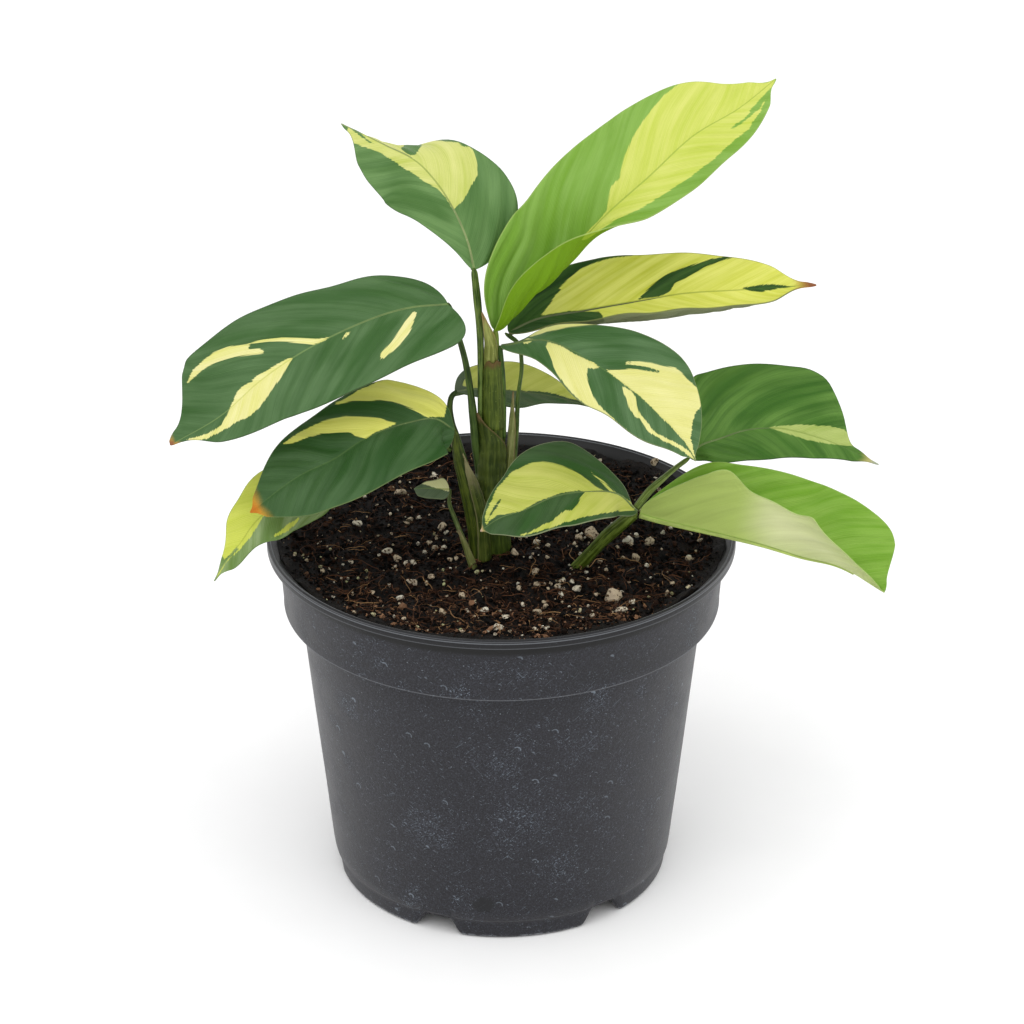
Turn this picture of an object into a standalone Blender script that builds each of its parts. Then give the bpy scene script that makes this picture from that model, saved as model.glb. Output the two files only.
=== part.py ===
"""A variegated calathea in a round nursery pot, with its soil, stems and twelve leaves.

Sizes and places are in millimetres from the middle of the pot's foot and become metres as meshes are made.
X runs to the right, Y to the back and Z up. The pot's axis stands left of the model's origin, because the
origin is the middle of the bounding box and the leaves reach further to the right.
"""

import math
from typing import NamedTuple

import bmesh
import bpy
import numpy as np

MM = 0.001
AXIS_X = -11.1
AXIS_Y = 0.0
GAP = 0.3
MERGE = 0.00001

# Pot
POT_HEIGHT = 131.7
RIM_RADIUS = 82.5
RIM_THICKNESS = 3.2
RIM_WIDTH = 5.2
WALL = 1.2
COLLAR_TOP_RADIUS = RIM_RADIUS - RIM_WIDTH + WALL
COLLAR_FOOT_RADIUS = 77.1
COLLAR_FOOT = 105.8
STEP_DROP = 1.0
BODY_TOP_RADIUS = 71.2
BODY_FOOT_RADIUS = 61.6
BODY_FOOT = 10.0
FOOT_HEIGHT = 5.9
FOOT_RADIUS = 57.8
FOOT_WALL = 1.8
BASE_THICKNESS = 1.6
POT_STEPS = 48
FOOT_COUNT = 6
NOTCH_ANGLE = -22.0
NOTCH_TOP_WIDTH = 8.0
NOTCH_FOOT_WIDTH = 14.0
DRAIN_RADIUS = 4.0
DRAIN_CIRCLE = 44.0

# Soil and what is planted in it
SOIL_TOP = 127.0
PLANT_DEPTH = 14.0

# Leaves
BLADE_THICKNESS = 0.5
BLADE_ROWS = 12
BLADE_COLUMNS = 6
NECK_HALF_WIDTH = 0.5
THICK_STEM = 3.0


class Leaf(NamedTuple):
    """One blade. Lists run from the neck to the tip, pairs are the left half and the right half.

    midrib: places that the midrib runs through
    face: directions that the upper face looks in
    width: half widths at even stops, before both ends are rounded off
    rise: angles in degrees at which the halves leave the midrib towards the upper face
    curl: how much further the halves turn up on the way to their edges, in degrees
    lobe: how far each half's base reaches back past the neck
    """

    midrib: tuple
    face: tuple
    width: tuple
    rise: tuple = ((0,), (0,))
    curl: tuple = ((0,), (0,))
    lobe: tuple = (0, 0)


LEAVES = {
    "leaf_top_left": Leaf(
        midrib=((-9, -8, 233.5), (-11, -5.5, 242), (-15.5, -2, 252), (-21, 2, 260), (-28, 5, 267),
                (-39, 8, 272), (-53.5, 10, 279)),
        face=((0.2, -0.9, 0.3), (0, -0.8, 0.6), (-0.2, -0.7, 0.7)),
        width=((5.5, 9, 12.5, 18, 19.5, 13.5, 5), (19, 25, 23, 18, 14, 10, 5)),
        rise=((10, 5), (10, 8, 5, -5, -45, -70, -70)),
        curl=((-10,), (-10, -10, -10, -20, -30, -20, -10)),
    ),
    "leaf_tall": Leaf(
        midrib=((-2, -8, 211.5), (6, -8, 224), (20, -6, 235), (36, -1, 251), (50, 5, 262), (65, 12, 274),
                (81, 18, 282), (93, 24, 290)),
        face=((0.3, -0.9, 0.3), (0.1, -0.8, 0.6), (0, -0.7, 0.7)),
        width=((13, 27, 25, 24, 23, 19, 5), (8, 13, 13, 14, 15.5, 16, 10)),
        rise=((10, 5, 5, 5, 5), (20, 25, 65, 40, 10, 5, 5)),
        curl=((20, 10, -5, -5), (110, 120, 30, 0, -5, -5, -5)),
    ),
    "leaf_right_upper": Leaf(
        midrib=((2.5, -5, 209.5), (11, -3, 213), (29, 1, 215), (46, 5, 216.5), (62, 7, 218.5),
                (82, 8, 219.5), (108, 8, 221.5)),
        face=((-0.2, -0.3, 0.9), (0, -0.3, 0.9), (0, -0.3, 0.9)),
        width=((10, 16, 18, 16, 14.5, 12.5, 6), (12, 15, 18, 20, 18, 13, 7)),
        rise=((25,), (-25, -25, -28, -30, -30, -25, -10)),
        curl=((5,), (60, 90, 110, 110, 100, 70, 20)),
    ),
    "leaf_middle_right": Leaf(
        midrib=((0, -9, 206), (16, -20, 212.5), (32, -30, 208), (41, -35, 203.5), (51, -42, 197),
                (60, -47, 189.5), (65, -50, 182)),
        face=((0.2, -0.7, 0.7), (0.3, -0.6, 0.7), (0.4, -0.7, 0.5)),
        width=((3, 6.5, 12.5, 19, 22.5, 19.5, 3.5), (5.5, 9, 12, 15.5, 14.5, 14, 7)),
        rise=((-60, 5, 10, 10, 10), (5,)),
        curl=((-10,), (-10,)),
    ),
    "leaf_left_large": Leaf(
        midrib=((-18, -11, 222), (-30, -16, 223), (-56, -26, 217), (-68, -31, 212), (-80, -36, 205),
                (-93, -42, 195), (-110, -46, 186)),
        face=((-0.1, -0.6, 0.8), (-0.1, -0.6, 0.8), (-0.3, -0.7, 0.6)),
        width=((32, 27, 24, 22, 18.5, 13, 3), (21, 20, 19.5, 22.5, 26, 30, 13)),
        rise=((5,), (5,)),
        curl=((-10,), (-10,)),
        lobe=(12, 0),
    ),
    "leaf_left_lower": Leaf(
        midrib=((-16, -20, 179.5), (-22, -23, 185), (-31, -28, 186), (-46, -35, 183), (-56, -40, 178),
                (-67, -44, 174), (-84, -50, 163)),
        face=((-0.1, -0.6, 0.8), (-0.1, -0.6, 0.8), (-0.3, -0.7, 0.6)),
        width=((20, 21, 19.5, 18.5, 17.5, 18, 10), (6, 21, 20, 18, 18, 14, 7)),
        rise=((5,), (5,)),
        curl=((-10,), (-10,)),
    ),
    "leaf_left_low": Leaf(
        midrib=((-58.5, -22, 155.5), (-68.5, -27, 156.5), (-77, -31, 156), (-83.5, -35, 152),
                (-89, -38, 145), (-94, -40, 139), (-98, -41, 132.5)),
        face=((-0.1, -0.6, 0.8), (-0.3, -0.6, 0.7), (-0.7, -0.6, 0.3)),
        width=((14, 12, 12.5, 12, 6.5, 6.5, 3), (14, 16, 16, 11.5, 9.5, 4, 1.5)),
        rise=((5,), (5,)),
        curl=((-10,), (-10,)),
    ),
    "leaf_back": Leaf(
        midrib=((-15.5, -7, 188), (-10.5, 0.5, 185.5), (2.5, 9.5, 181), (16, 14.5, 177), (28, 17.5, 172.5),
                (34, 18.5, 170.5)),
        face=((0.1, -0.5, 0.8),),
        width=((6, 10, 10.5, 11, 8.5, 5, 2), (9, 13, 11, 9, 5, 2, 1)),
        rise=((15,), (5,)),
        curl=((0,), (30,)),
    ),
    "leaf_right_dark": Leaf(
        midrib=((65, -8, 163.5), (68, -8, 167.5), (76, -6, 170), (84, -4, 172), (94, -2, 172),
                (111, -2, 168), (131, -6, 160)),
        face=((0.1, -0.5, 0.8), (0.1, -0.5, 0.8), (0.2, -0.5, 0.8)),
        width=((22, 27, 25, 22.5, 21, 8, 4), (12.5, 12, 12.5, 11, 9, 4.5, 1.5)),
        rise=((15,), (-10,)),
    ),
    "leaf_front_small": Leaf(
        midrib=((46.5, -28, 152.5), (40, -30, 160), (29, -34, 163), (18, -38, 163), (8, -42, 160),
                (-1, -45, 158), (-7, -46, 154)),
        face=((0, -0.5, 0.8), (-0.1, -0.5, 0.8), (-0.3, -0.5, 0.8)),
        width=((10, 12, 12.5, 13, 12.5, 12.5, 8), (-2, 8, 20.5, 22, 19.5, 16, 6)),
    ),
    "leaf_front_right": Leaf(
        midrib=((47.6, -28.4, 152), (53, -31, 151.5), (62, -35, 151), (75, -40, 150), (89, -44, 148),
                (102, -47, 145), (113, -49, 143), (130, -50, 133)),
        face=((0, -0.1, 0.9), (0.1, -0.1, 0.9), (0.5, -0.1, 0.8)),
        width=((20, 28, 26.5, 26, 27.5, 30, 42), (17, 22, 27, 23, 22, 14, 8)),
        rise=((50,), (85, 85, 80, 50, 30)),
        curl=((-10,), (0,)),
    ),
    "leaf_tiny": Leaf(
        midrib=((-18, -14, 154), (-24, -15, 155), (-30, -16, 155.5)),
        face=((0, -0.5, 0.8),),
        width=((7, 6, 5, 4.7, 4.8, 5.2, 7), (6, 5.5, 3.7, 2.9, 2.6, 1.7, 1)),
        rise=((10,), (10,)),
    ),
}


class Stem(NamedTuple):
    """A round stem: the places it runs through, its radius at even stops, and if it stands in the soil."""

    route: tuple
    radius: tuple
    planted: bool = False


STEMS = {
    "main_stem": Stem(
        ((-2.6, -8.5, 127), (-3, -9, 148), (-3, -9, 167), (-3.1, -9, 178), (-3.3, -9, 190),
         (-3.4, -9, 199.5)),
        (5.6, 5.2, 4.4, 3, 2.6, 2.5), planted=True),
    "main_sheath": Stem(
        ((-3.6, -9.9, 201.5), (-3.6, -11, 207), (-4.3, -11.4, 212.5), (-5.8, -11.6, 218.5)),
        (1.5, 2, 1.4, 0.5)),
    "petiole_tall": Stem(((-1.6, -7.3, 200.3), (-1.6, -7, 205), (-1.9, -7.6, 210.9)), (1.1, 1, 0.9)),
    "petiole_top_left": Stem(
        ((-7.2, -9, 176), (-7, -9, 190), (-6.9, -9, 201), (-7.2, -9, 212), (-8, -8.5, 222.5), (-9, -8, 233)),
        (0.7, 0.8, 0.9, 1, 1.1, 1)),
    "petiole_middle_right": Stem(
        ((1, -10, 172), (1, -9.8, 180), (0.8, -9.8, 190), (0.4, -9.9, 197), (-0.3, -9.3, 205)),
        (0.7, 0.8, 0.9, 0.9, 0.9)),
    "petiole_right_upper": Stem(
        ((3.2, -7.6, 151), (4.4, -7.5, 162), (5.2, -7, 173.5), (5.9, -6.5, 186.5), (7, -6, 199),
         (6, -5.2, 205), (2.2, -5.1, 208.3)),
        (0.9, 1, 1, 0.8, 0.7, 0.7, 0.8)),
    "sheath_right_upper": Stem(((2.4, -11.2, 153), (2.9, -10.4, 164), (3.4, -9.7, 175), (4.4, -9, 187)),
                               (0.8, 1.1, 0.9, 0.5)),
    "petiole_left_large": Stem(
        ((-8.6, -10, 162), (-9.2, -10, 171), (-9.8, -10, 180.5), (-10.8, -9.5, 191.5), (-12.6, -8.5, 202),
         (-14.6, -7.5, 209.5), (-16.4, -8, 217), (-17.6, -10.3, 221.5)),
        (0.8, 0.9, 1, 1, 0.9, 0.8, 0.8, 0.8)),
    "left_shoot": Stem(
        ((-8, -15.5, 127), (-9.6, -16, 143), (-11.8, -17, 155), (-14, -18, 165), (-16, -19.5, 178.7)),
        (2.6, 2.4, 2.2, 1.8, 1.1), planted=True),
    "left_sheath": Stem(((-5.6, -17.6, 128.2), (-6.6, -16.6, 146), (-9, -16, 158), (-12.4, -15.6, 170)),
                        (0.5, 0.6, 0.7, 0.4)),
    "petiole_back": Stem(
        ((-12.6, -15, 164), (-15, -12.4, 172), (-17, -10.5, 178.5), (-17.6, -8.8, 183.5),
         (-17, -8, 186.5), (-15.9, -7.5, 187.8)),
        (0.9, 0.9, 0.9, 0.8, 0.8, 0.8)),
    "petiole_left_low": Stem(
        ((-17, -17.6, 171), (-28, -18, 175), (-44, -20, 169), (-53, -21, 161), (-58.1, -21.9, 156)),
        (0.9, 0.9, 0.9, 0.8, 0.8)),
    "petiole_tiny": Stem(
        ((-10.6, -20, 127), (-13.4, -18, 136), (-16.4, -15.5, 144), (-18, -14.5, 150), (-17.6, -14.1, 153.2)),
        (0.9, 0.9, 0.8, 0.7, 0.6), planted=True),
    "right_shoot": Stem(((26, -18, 127), (35.5, -22, 139.5), (45.6, -27.6, 151.6)), (2.5, 2.4, 1.9),
                        planted=True),
    "petiole_right_dark": Stem(
        ((46.2, -26.3, 153), (51, -22, 157.5), (56, -17, 160), (60, -12.5, 161.5), (64.5, -8.2, 163)),
        (1.3, 1.3, 1.1, 0.9, 0.8)),
}

GREENS = {
    "leaf_tall": (0.2, 0.42, 0.06),
    "leaf_front_right": (0.22, 0.45, 0.06),
    "leaf_right_upper": (0.45, 0.5, 0.08),
}
LEAF_GREEN = (0.04, 0.13, 0.05)
STEM_GREEN = (0.07, 0.13, 0.025)
SHEATH_TAN = (0.3, 0.27, 0.12)
POT_GREY = (0.045, 0.045, 0.048)
SOIL_BROWN = (0.018, 0.011, 0.007)


def remove_all():
    """Empty the scene."""
    for thing in list(bpy.data.objects):
        bpy.data.objects.remove(thing, do_unlink=True)


def new_collection(name):
    """Collection in the scene."""
    made = bpy.data.collections.new(name)
    bpy.context.scene.collection.children.link(made)
    return made


def plain_material(name, colour, roughness):
    """Principled material of one colour."""
    made = bpy.data.materials.new(name)
    made.use_nodes = True
    shader = made.node_tree.nodes["Principled BSDF"]
    shader.inputs["Base Color"].default_value = (*colour, 1.0)
    shader.inputs["Roughness"].default_value = roughness
    shader.inputs["Metallic"].default_value = 0.0
    return made


def add_object(name, data, collection, parent=None):
    """Object in a collection, carried by a parent."""
    made = bpy.data.objects.new(name, data)
    collection.objects.link(made)
    made.parent = parent
    return made


def mesh_from(name, build):
    """Mesh that a function fills."""
    made = bmesh.new()
    build(made)
    mesh = bpy.data.meshes.new(name)
    made.to_mesh(mesh)
    made.free()
    mesh.shade_smooth()
    mesh.set_sharp_from_angle(angle=math.radians(35))
    return mesh


def unit(vectors):
    """Vectors of length one."""
    return vectors / np.linalg.norm(vectors, axis=-1, keepdims=True)


def through(stops, values, at):
    """Smooth curve through values at rising stops, one row for each place asked for."""
    slopes = np.gradient(values, stops, axis=0)
    cell = np.clip(np.searchsorted(stops, at, side="right") - 1, 0, len(stops) - 2)
    step = (stops[cell + 1] - stops[cell])[:, None]
    t = (at - stops[cell])[:, None] / step
    start = (2 * t**3 - 3 * t**2 + 1) * values[cell] + (t**3 - 2 * t**2 + t) * step * slopes[cell]
    return start + (3 * t**2 - 2 * t**3) * values[cell + 1] + (t**3 - t**2) * step * slopes[cell + 1]


def curve_at(places, at):
    """Points of the curve through places, by share of its length."""
    places = np.array(places, float)
    steps = np.linalg.norm(np.diff(places, axis=0), axis=1)
    stops = np.concatenate([[0.0], np.cumsum(steps)]) / steps.sum()
    return through(stops, places, at)


def even(values, at):
    """Value that passes evenly spaced stops smoothly."""
    values = np.array(values, float)
    if len(values) == 1:
        return np.repeat(values, len(at), axis=0)
    flat = values.reshape(len(values), -1)
    found = through(np.linspace(0.0, 1.0, len(values)), flat, at)
    return found.reshape((len(at), *values.shape[1:]))


def leaf_points(leaf, at, across):
    """Points of a blade at shares of its length, at across from -1 (left edge) to 1 (right edge)."""
    place = curve_at(leaf.midrib, at)
    ahead = curve_at(leaf.midrib, np.clip(at + 0.02, 0, 1))
    behind = curve_at(leaf.midrib, np.clip(at - 0.02, 0, 1))
    tangent = unit(ahead - behind)
    side = unit(np.cross(tangent, even(unit(np.array(leaf.face, float)), at)))
    normal = np.cross(side, tangent)
    half = 0 if across < 0 else 1
    rounding = 2 * np.sqrt(np.clip(at * (1 - at), 0, 1))
    width = np.maximum(even(leaf.width[half], at) * rounding, NECK_HALF_WIDTH)
    rise = np.radians(even(leaf.rise[half], at))
    curl = np.radians(even(leaf.curl[half], at)) + 1e-6
    turned = rise + curl * abs(across)
    out = width / curl * (np.sin(turned) - np.sin(rise)) * math.copysign(1, across)
    up = width / curl * (np.cos(rise) - np.cos(turned))
    back = leaf.lobe[half] * abs(across) * 2 * rounding * (1 - at) ** 6
    return place + out[:, None] * side + up[:, None] * normal - back[:, None] * tangent


def add_leaf(name, leaf, collection, parent):
    """Thin blade: a grid bent to the leaf's shape and given its thickness."""
    def build(blade):
        bmesh.ops.create_grid(blade, x_segments=BLADE_ROWS, y_segments=BLADE_COLUMNS, size=1.0)
        blade.verts.ensure_lookup_table()
        corners = np.array([corner.co for corner in blade.verts])
        at = (1 + np.sin(corners[:, 0] * math.pi / 2)) / 2
        across = np.round(corners[:, 1], 4)
        for column in np.unique(across):
            held = np.flatnonzero(across == column)
            for index, point in zip(held, leaf_points(leaf, at[held], column)):
                blade.verts[index].co = point * MM

    made = add_object(name, mesh_from(name, build), collection, parent)
    thicken = made.modifiers.new("thickness", "SOLIDIFY")
    thicken.thickness = BLADE_THICKNESS * MM
    thicken.offset = 0.0
    made.data.materials.append(plain_material(name, GREENS.get(name, LEAF_GREEN), 0.45))
    return made


def add_stem(name, stem, collection, parent, extra=0.0):
    """Tapered round tube along a stem's route, with flat ends."""
    route = np.array(stem.route, float)
    radius = stem.radius
    if stem.planted:
        route = np.vstack([route[0] - [0, 0, PLANT_DEPTH + extra], route])
        radius = (radius[0], *radius)
    at = np.linspace(0.0, 1.0, 2 * len(route) - 1)
    line = bpy.data.curves.new(name, "CURVE")
    line.dimensions = "3D"
    line.bevel_depth = MM
    line.bevel_resolution = 4 if max(radius) > THICK_STEM else 2
    line.use_fill_caps = True
    run = line.splines.new("POLY")
    run.points.add(len(at) - 1)
    for point, place, size in zip(run.points, curve_at(route, at), even(radius, at)):
        point.co = (*(place * MM), 1.0)
        point.radius = size + extra
    line.materials.append(plain_material(name, SHEATH_TAN if "sheath" in name else STEM_GREEN, 0.5))
    return add_object(name, line, collection, parent)


def as_mesh(thing, collection):
    """A curve object made into a mesh object with its caps welded on."""
    bpy.context.view_layer.update()
    seen = thing.evaluated_get(bpy.context.evaluated_depsgraph_get())
    mesh = bpy.data.meshes.new_from_object(seen)
    welded = bmesh.new()
    welded.from_mesh(mesh)
    bmesh.ops.remove_doubles(welded, verts=welded.verts, dist=MERGE)
    welded.to_mesh(mesh)
    welded.free()
    made = add_object(f"{thing.name}_solid", mesh, collection)
    made.matrix_world = thing.matrix_world
    bpy.data.objects.remove(thing, do_unlink=True)
    return made


def add_turned(name, outline, collection, parent):
    """Solid turned from an outline of radius and height pairs that starts and ends on the axis."""
    def build(profile):
        corners = [profile.verts.new((radius * MM, 0.0, height * MM)) for radius, height in outline]
        for first, second in zip(corners, corners[1:]):
            profile.edges.new((first, second))

    made = add_object(name, mesh_from(name, build), collection, parent)
    turn = made.modifiers.new("turn", "SCREW")
    turn.steps = POT_STEPS
    turn.render_steps = POT_STEPS
    turn.use_merge_vertices = True
    turn.merge_threshold = MERGE
    turn.use_smooth_shade = True
    return made


def cut(thing, cutter):
    """Take a cutter's shape out of an object."""
    cutter.hide_render = True
    cutter.display_type = "WIRE"
    taken = thing.modifiers.new(cutter.name, "BOOLEAN")
    taken.operation = "DIFFERENCE"
    taken.solver = "EXACT"
    taken.object = cutter


def arc(centre, radius, first, last, count):
    """Points of an arc in an outline, angles in degrees from the +X side."""
    turns = [math.radians(first + (last - first) * step / (count - 1)) for step in range(count)]
    return [(centre[0] + radius * math.cos(turn), centre[1] + radius * math.sin(turn)) for turn in turns]


def pot_outer():
    """Outer side of the pot, rim to foot."""
    rim_middle = POT_HEIGHT - RIM_THICKNESS / 2
    rim_round = RIM_THICKNESS / 2
    corner_round = BODY_FOOT - FOOT_HEIGHT
    return [
        *arc((RIM_RADIUS - rim_round, rim_middle), rim_round, 90, -90, 5),
        (COLLAR_TOP_RADIUS, POT_HEIGHT - RIM_THICKNESS),
        (COLLAR_FOOT_RADIUS, COLLAR_FOOT),
        (BODY_TOP_RADIUS + STEP_DROP, COLLAR_FOOT - STEP_DROP / 2),
        (BODY_TOP_RADIUS, COLLAR_FOOT - 2 * STEP_DROP),
        *arc((BODY_FOOT_RADIUS - corner_round, BODY_FOOT), corner_round, 0, -70, 4),
        (FOOT_RADIUS, FOOT_HEIGHT),
        (FOOT_RADIUS - GAP, 0.0),
    ]


def pot_inner(inset, base, top):
    """Inner side of the pot from its floor to a height, moved inwards by an inset."""
    lean = (COLLAR_TOP_RADIUS - COLLAR_FOOT_RADIUS) / (POT_HEIGHT - RIM_THICKNESS - COLLAR_FOOT)
    top_radius = COLLAR_FOOT_RADIUS + lean * (top - COLLAR_FOOT)
    shelf = COLLAR_FOOT + WALL + inset
    floor_radius = FOOT_RADIUS - WALL
    return [
        (floor_radius - inset, base),
        (BODY_FOOT_RADIUS - WALL - inset, BODY_FOOT + inset),
        (BODY_TOP_RADIUS - WALL - inset, shelf - 2 * STEP_DROP),
        (BODY_TOP_RADIUS + STEP_DROP - WALL - inset, shelf - STEP_DROP / 2),
        (COLLAR_FOOT_RADIUS - WALL - inset, shelf),
        (top_radius - WALL - inset, top),
    ]


def foot_cutters(collection, parent):
    """The notches between the feet and the drain holes, as one cutter."""
    notch_height = FOOT_HEIGHT + 1.0
    notch_depth = 10.0

    def build(cutters):
        for turn in range(FOOT_COUNT):
            spin = math.radians(NOTCH_ANGLE - 90 + 360 / FOOT_COUNT * turn)
            made = bmesh.ops.create_cube(cutters, size=1.0)["verts"]
            for corner in made:
                width = NOTCH_TOP_WIDTH if corner.co.z > 0 else NOTCH_FOOT_WIDTH
                away = FOOT_RADIUS + corner.co.x * notch_depth
                aside = corner.co.y * width
                height = FOOT_HEIGHT - notch_height * (0.5 - corner.co.z)
                corner.co = (
                    (away * math.cos(spin) - aside * math.sin(spin)) * MM,
                    (away * math.sin(spin) + aside * math.cos(spin)) * MM,
                    height * MM,
                )
            middle = spin + math.pi / FOOT_COUNT
            drain = bmesh.ops.create_cone(cutters, cap_ends=True, segments=12, radius1=DRAIN_RADIUS * MM,
                                          radius2=DRAIN_RADIUS * MM, depth=4 * BASE_THICKNESS * MM)["verts"]
            where = (DRAIN_CIRCLE * MM * math.cos(middle), DRAIN_CIRCLE * MM * math.sin(middle),
                     (FOOT_HEIGHT + BASE_THICKNESS / 2) * MM)
            bmesh.ops.translate(cutters, verts=drain, vec=where)

    return add_object("notches_and_drains", mesh_from("notches_and_drains", build), collection, parent)


def add_pot(collection, cutters, parent):
    """Nursery pot: rim, collar, stepped body, a floor with drain holes and a ring of feet."""
    floor_top = FOOT_HEIGHT + BASE_THICKNESS
    inner = pot_inner(0.0, floor_top, POT_HEIGHT - RIM_THICKNESS)
    rim_inner = RIM_RADIUS - RIM_WIDTH
    outline = [
        (0.0, floor_top),
        *inner,
        (rim_inner, POT_HEIGHT - GAP),
        (rim_inner + GAP, POT_HEIGHT),
        *pot_outer(),
        (FOOT_RADIUS - FOOT_WALL, 0.0),
        (FOOT_RADIUS - FOOT_WALL, FOOT_HEIGHT),
        (0.0, FOOT_HEIGHT),
    ]
    pot = add_turned("pot", outline, collection, parent)
    pot.data.materials.append(plain_material("pot", POT_GREY, 0.5))
    cut(pot, foot_cutters(cutters, parent))
    return pot


def add_soil(collection, cutters, parent):
    """Soil that fills the pot to just under its rim, with a socket for each planted stem."""
    bottom = FOOT_HEIGHT + BASE_THICKNESS + GAP
    outline = [(0.0, SOIL_TOP), *reversed(pot_inner(GAP, bottom, SOIL_TOP)), (0.0, bottom)]
    soil = add_turned("soil", outline, collection, parent)
    soil.data.materials.append(plain_material("soil", SOIL_BROWN, 0.95))
    for name, stem in STEMS.items():
        if stem.planted:
            socket = add_stem(f"{name}_socket", stem, cutters, parent, extra=GAP)
            cut(soil, as_mesh(socket, cutters))
    return soil


def build():
    """Make every piece."""
    remove_all()
    parts = new_collection("potted_calathea")
    cutters = new_collection("cutters")
    pot_axis = add_object("pot_axis", None, parts)
    pot_axis.location = (AXIS_X * MM, AXIS_Y * MM, 0.0)
    bpy.context.view_layer.update()
    add_pot(parts, cutters, pot_axis)
    add_soil(parts, cutters, pot_axis)
    for name, stem in STEMS.items():
        add_stem(name, stem, parts, pot_axis)
    for name, leaf in LEAVES.items():
        add_leaf(name, leaf, parts, pot_axis)


build()
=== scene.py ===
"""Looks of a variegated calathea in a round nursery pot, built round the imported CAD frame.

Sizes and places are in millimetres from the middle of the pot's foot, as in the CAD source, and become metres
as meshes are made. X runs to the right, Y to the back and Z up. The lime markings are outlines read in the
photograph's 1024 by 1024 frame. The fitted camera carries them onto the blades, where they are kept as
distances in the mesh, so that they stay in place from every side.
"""

import math
from typing import NamedTuple

import bmesh
import bpy
import numpy as np
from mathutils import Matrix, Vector


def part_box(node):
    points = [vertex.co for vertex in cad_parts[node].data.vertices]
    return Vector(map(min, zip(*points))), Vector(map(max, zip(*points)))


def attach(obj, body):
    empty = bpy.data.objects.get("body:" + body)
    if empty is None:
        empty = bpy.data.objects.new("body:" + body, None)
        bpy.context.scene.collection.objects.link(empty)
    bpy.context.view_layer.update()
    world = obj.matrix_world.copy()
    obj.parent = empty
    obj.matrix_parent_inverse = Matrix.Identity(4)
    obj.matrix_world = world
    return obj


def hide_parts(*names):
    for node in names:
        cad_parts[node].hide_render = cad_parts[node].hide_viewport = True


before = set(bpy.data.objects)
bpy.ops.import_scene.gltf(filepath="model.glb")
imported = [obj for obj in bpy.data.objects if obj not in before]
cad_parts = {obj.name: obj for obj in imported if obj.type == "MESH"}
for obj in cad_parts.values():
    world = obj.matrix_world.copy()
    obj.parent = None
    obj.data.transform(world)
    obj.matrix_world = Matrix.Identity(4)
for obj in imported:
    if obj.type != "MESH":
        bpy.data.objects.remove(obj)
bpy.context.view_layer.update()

MM = 0.001
SEED = 7

# Camera, fitted to the photograph
FRAME_PIXELS = 1024
SENSOR_WIDTH = 36.0
FOCAL_PIXELS = 3417.1
VIEW_DISTANCE = 1200.0
VIEW_ELEVATION = math.radians(26.12)
VIEW_AIM = np.array([3.75, 0.0, 138.6])
VIEW_FORWARD = np.array([0.0, math.cos(VIEW_ELEVATION), -math.sin(VIEW_ELEVATION)])
VIEW_UP = np.array([0.0, math.sin(VIEW_ELEVATION), math.cos(VIEW_ELEVATION)])
VIEW_EYE = VIEW_AIM - VIEW_DISTANCE * VIEW_FORWARD
PIXEL = VIEW_DISTANCE / FOCAL_PIXELS

# Surroundings and lamps together light a surface above white, so that materials keep this share of
# the colours seen
COLOUR_SHARE = 0.81

# Pot
POT_HEIGHT = 131.7
RIM_RADIUS = 82.5
RIM_THICKNESS = 3.6
RIM_WIDTH = 5.2
WALL = 1.2
COLLAR_TOP_RADIUS = RIM_RADIUS - RIM_WIDTH + WALL
COLLAR_FOOT_RADIUS = 77.1
COLLAR_FOOT = 105.8
BODY_TOP_RADIUS = 71.2
BODY_FOOT_RADIUS = 61.6
BODY_FOOT = 10.0
FOOT_HEIGHT = 5.9
FOOT_RADIUS = 59.8
FOOT_WALL = 2.6
FOOT_ROUNDING = 1.8
BASE_THICKNESS = 1.6
POT_COLUMNS = 420
FOOT_COUNT = 6
NOTCH_ANGLE = -22.5
NOTCH_HEIGHT = 7.0
NOTCH_TOP_WIDTH = 8.4
NOTCH_FOOT_WIDTH = 19.0
DRAIN_RADIUS = 4.0
DRAIN_CIRCLE = 44.0
# Scuffed patches: middle in the photograph's pixels and reach in millimetres
SCUFFS = (
    (530, 815, 17), (432, 830, 14), (500, 765, 9), (380, 660, 5), (462, 690, 5), (690, 625, 9), (640, 690, 6),
    (350, 762, 5), (410, 900, 8), (458, 900, 4), (520, 672, 4), (600, 700, 8), (345, 700, 8), (560, 870, 10),
)
# Dark spot, in the photograph's pixels
DARK_SPOT = (484, 904)

# Soil
SOIL_TOP = 127.0
SOIL_RADIUS = 79.0
CRUMBS = 6500
DUST = 16000
FIBRES = 3600
SMALL_GRANULES = 430
SOIL_RINGS = 90
SOIL_COLUMNS = 240
# Radius in which the middles of the fibres lie
FIBRE_CIRCLE = 71.0

# Leaves
LEAF_CELL = 0.66
BLADE_THICKNESS = 0.4
NECK_HALF_WIDTH = 0.5
TIP_HALF_WIDTH = 0.12
VEIN_BEND = 0.012
RIB_REACH = 0.86
RIB_ROWS = 90
RIB_SIDES = 14
# Depth in pixels where no outline is near
NO_OUTLINE = 40.0

# Stems: how far they run on into what they carry and down into the soil, and the length of their faces
STALK_REACH = 1.1
PLANTED_DEPTH = 6.0
STALK_CELL = 0.8

# Sheaths: the length of their faces, the points across them and their thickness
SHEATH_CELL = 0.5
SHEATH_COLUMNS = 31
SHEATH_THICKNESS = 0.3


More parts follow.
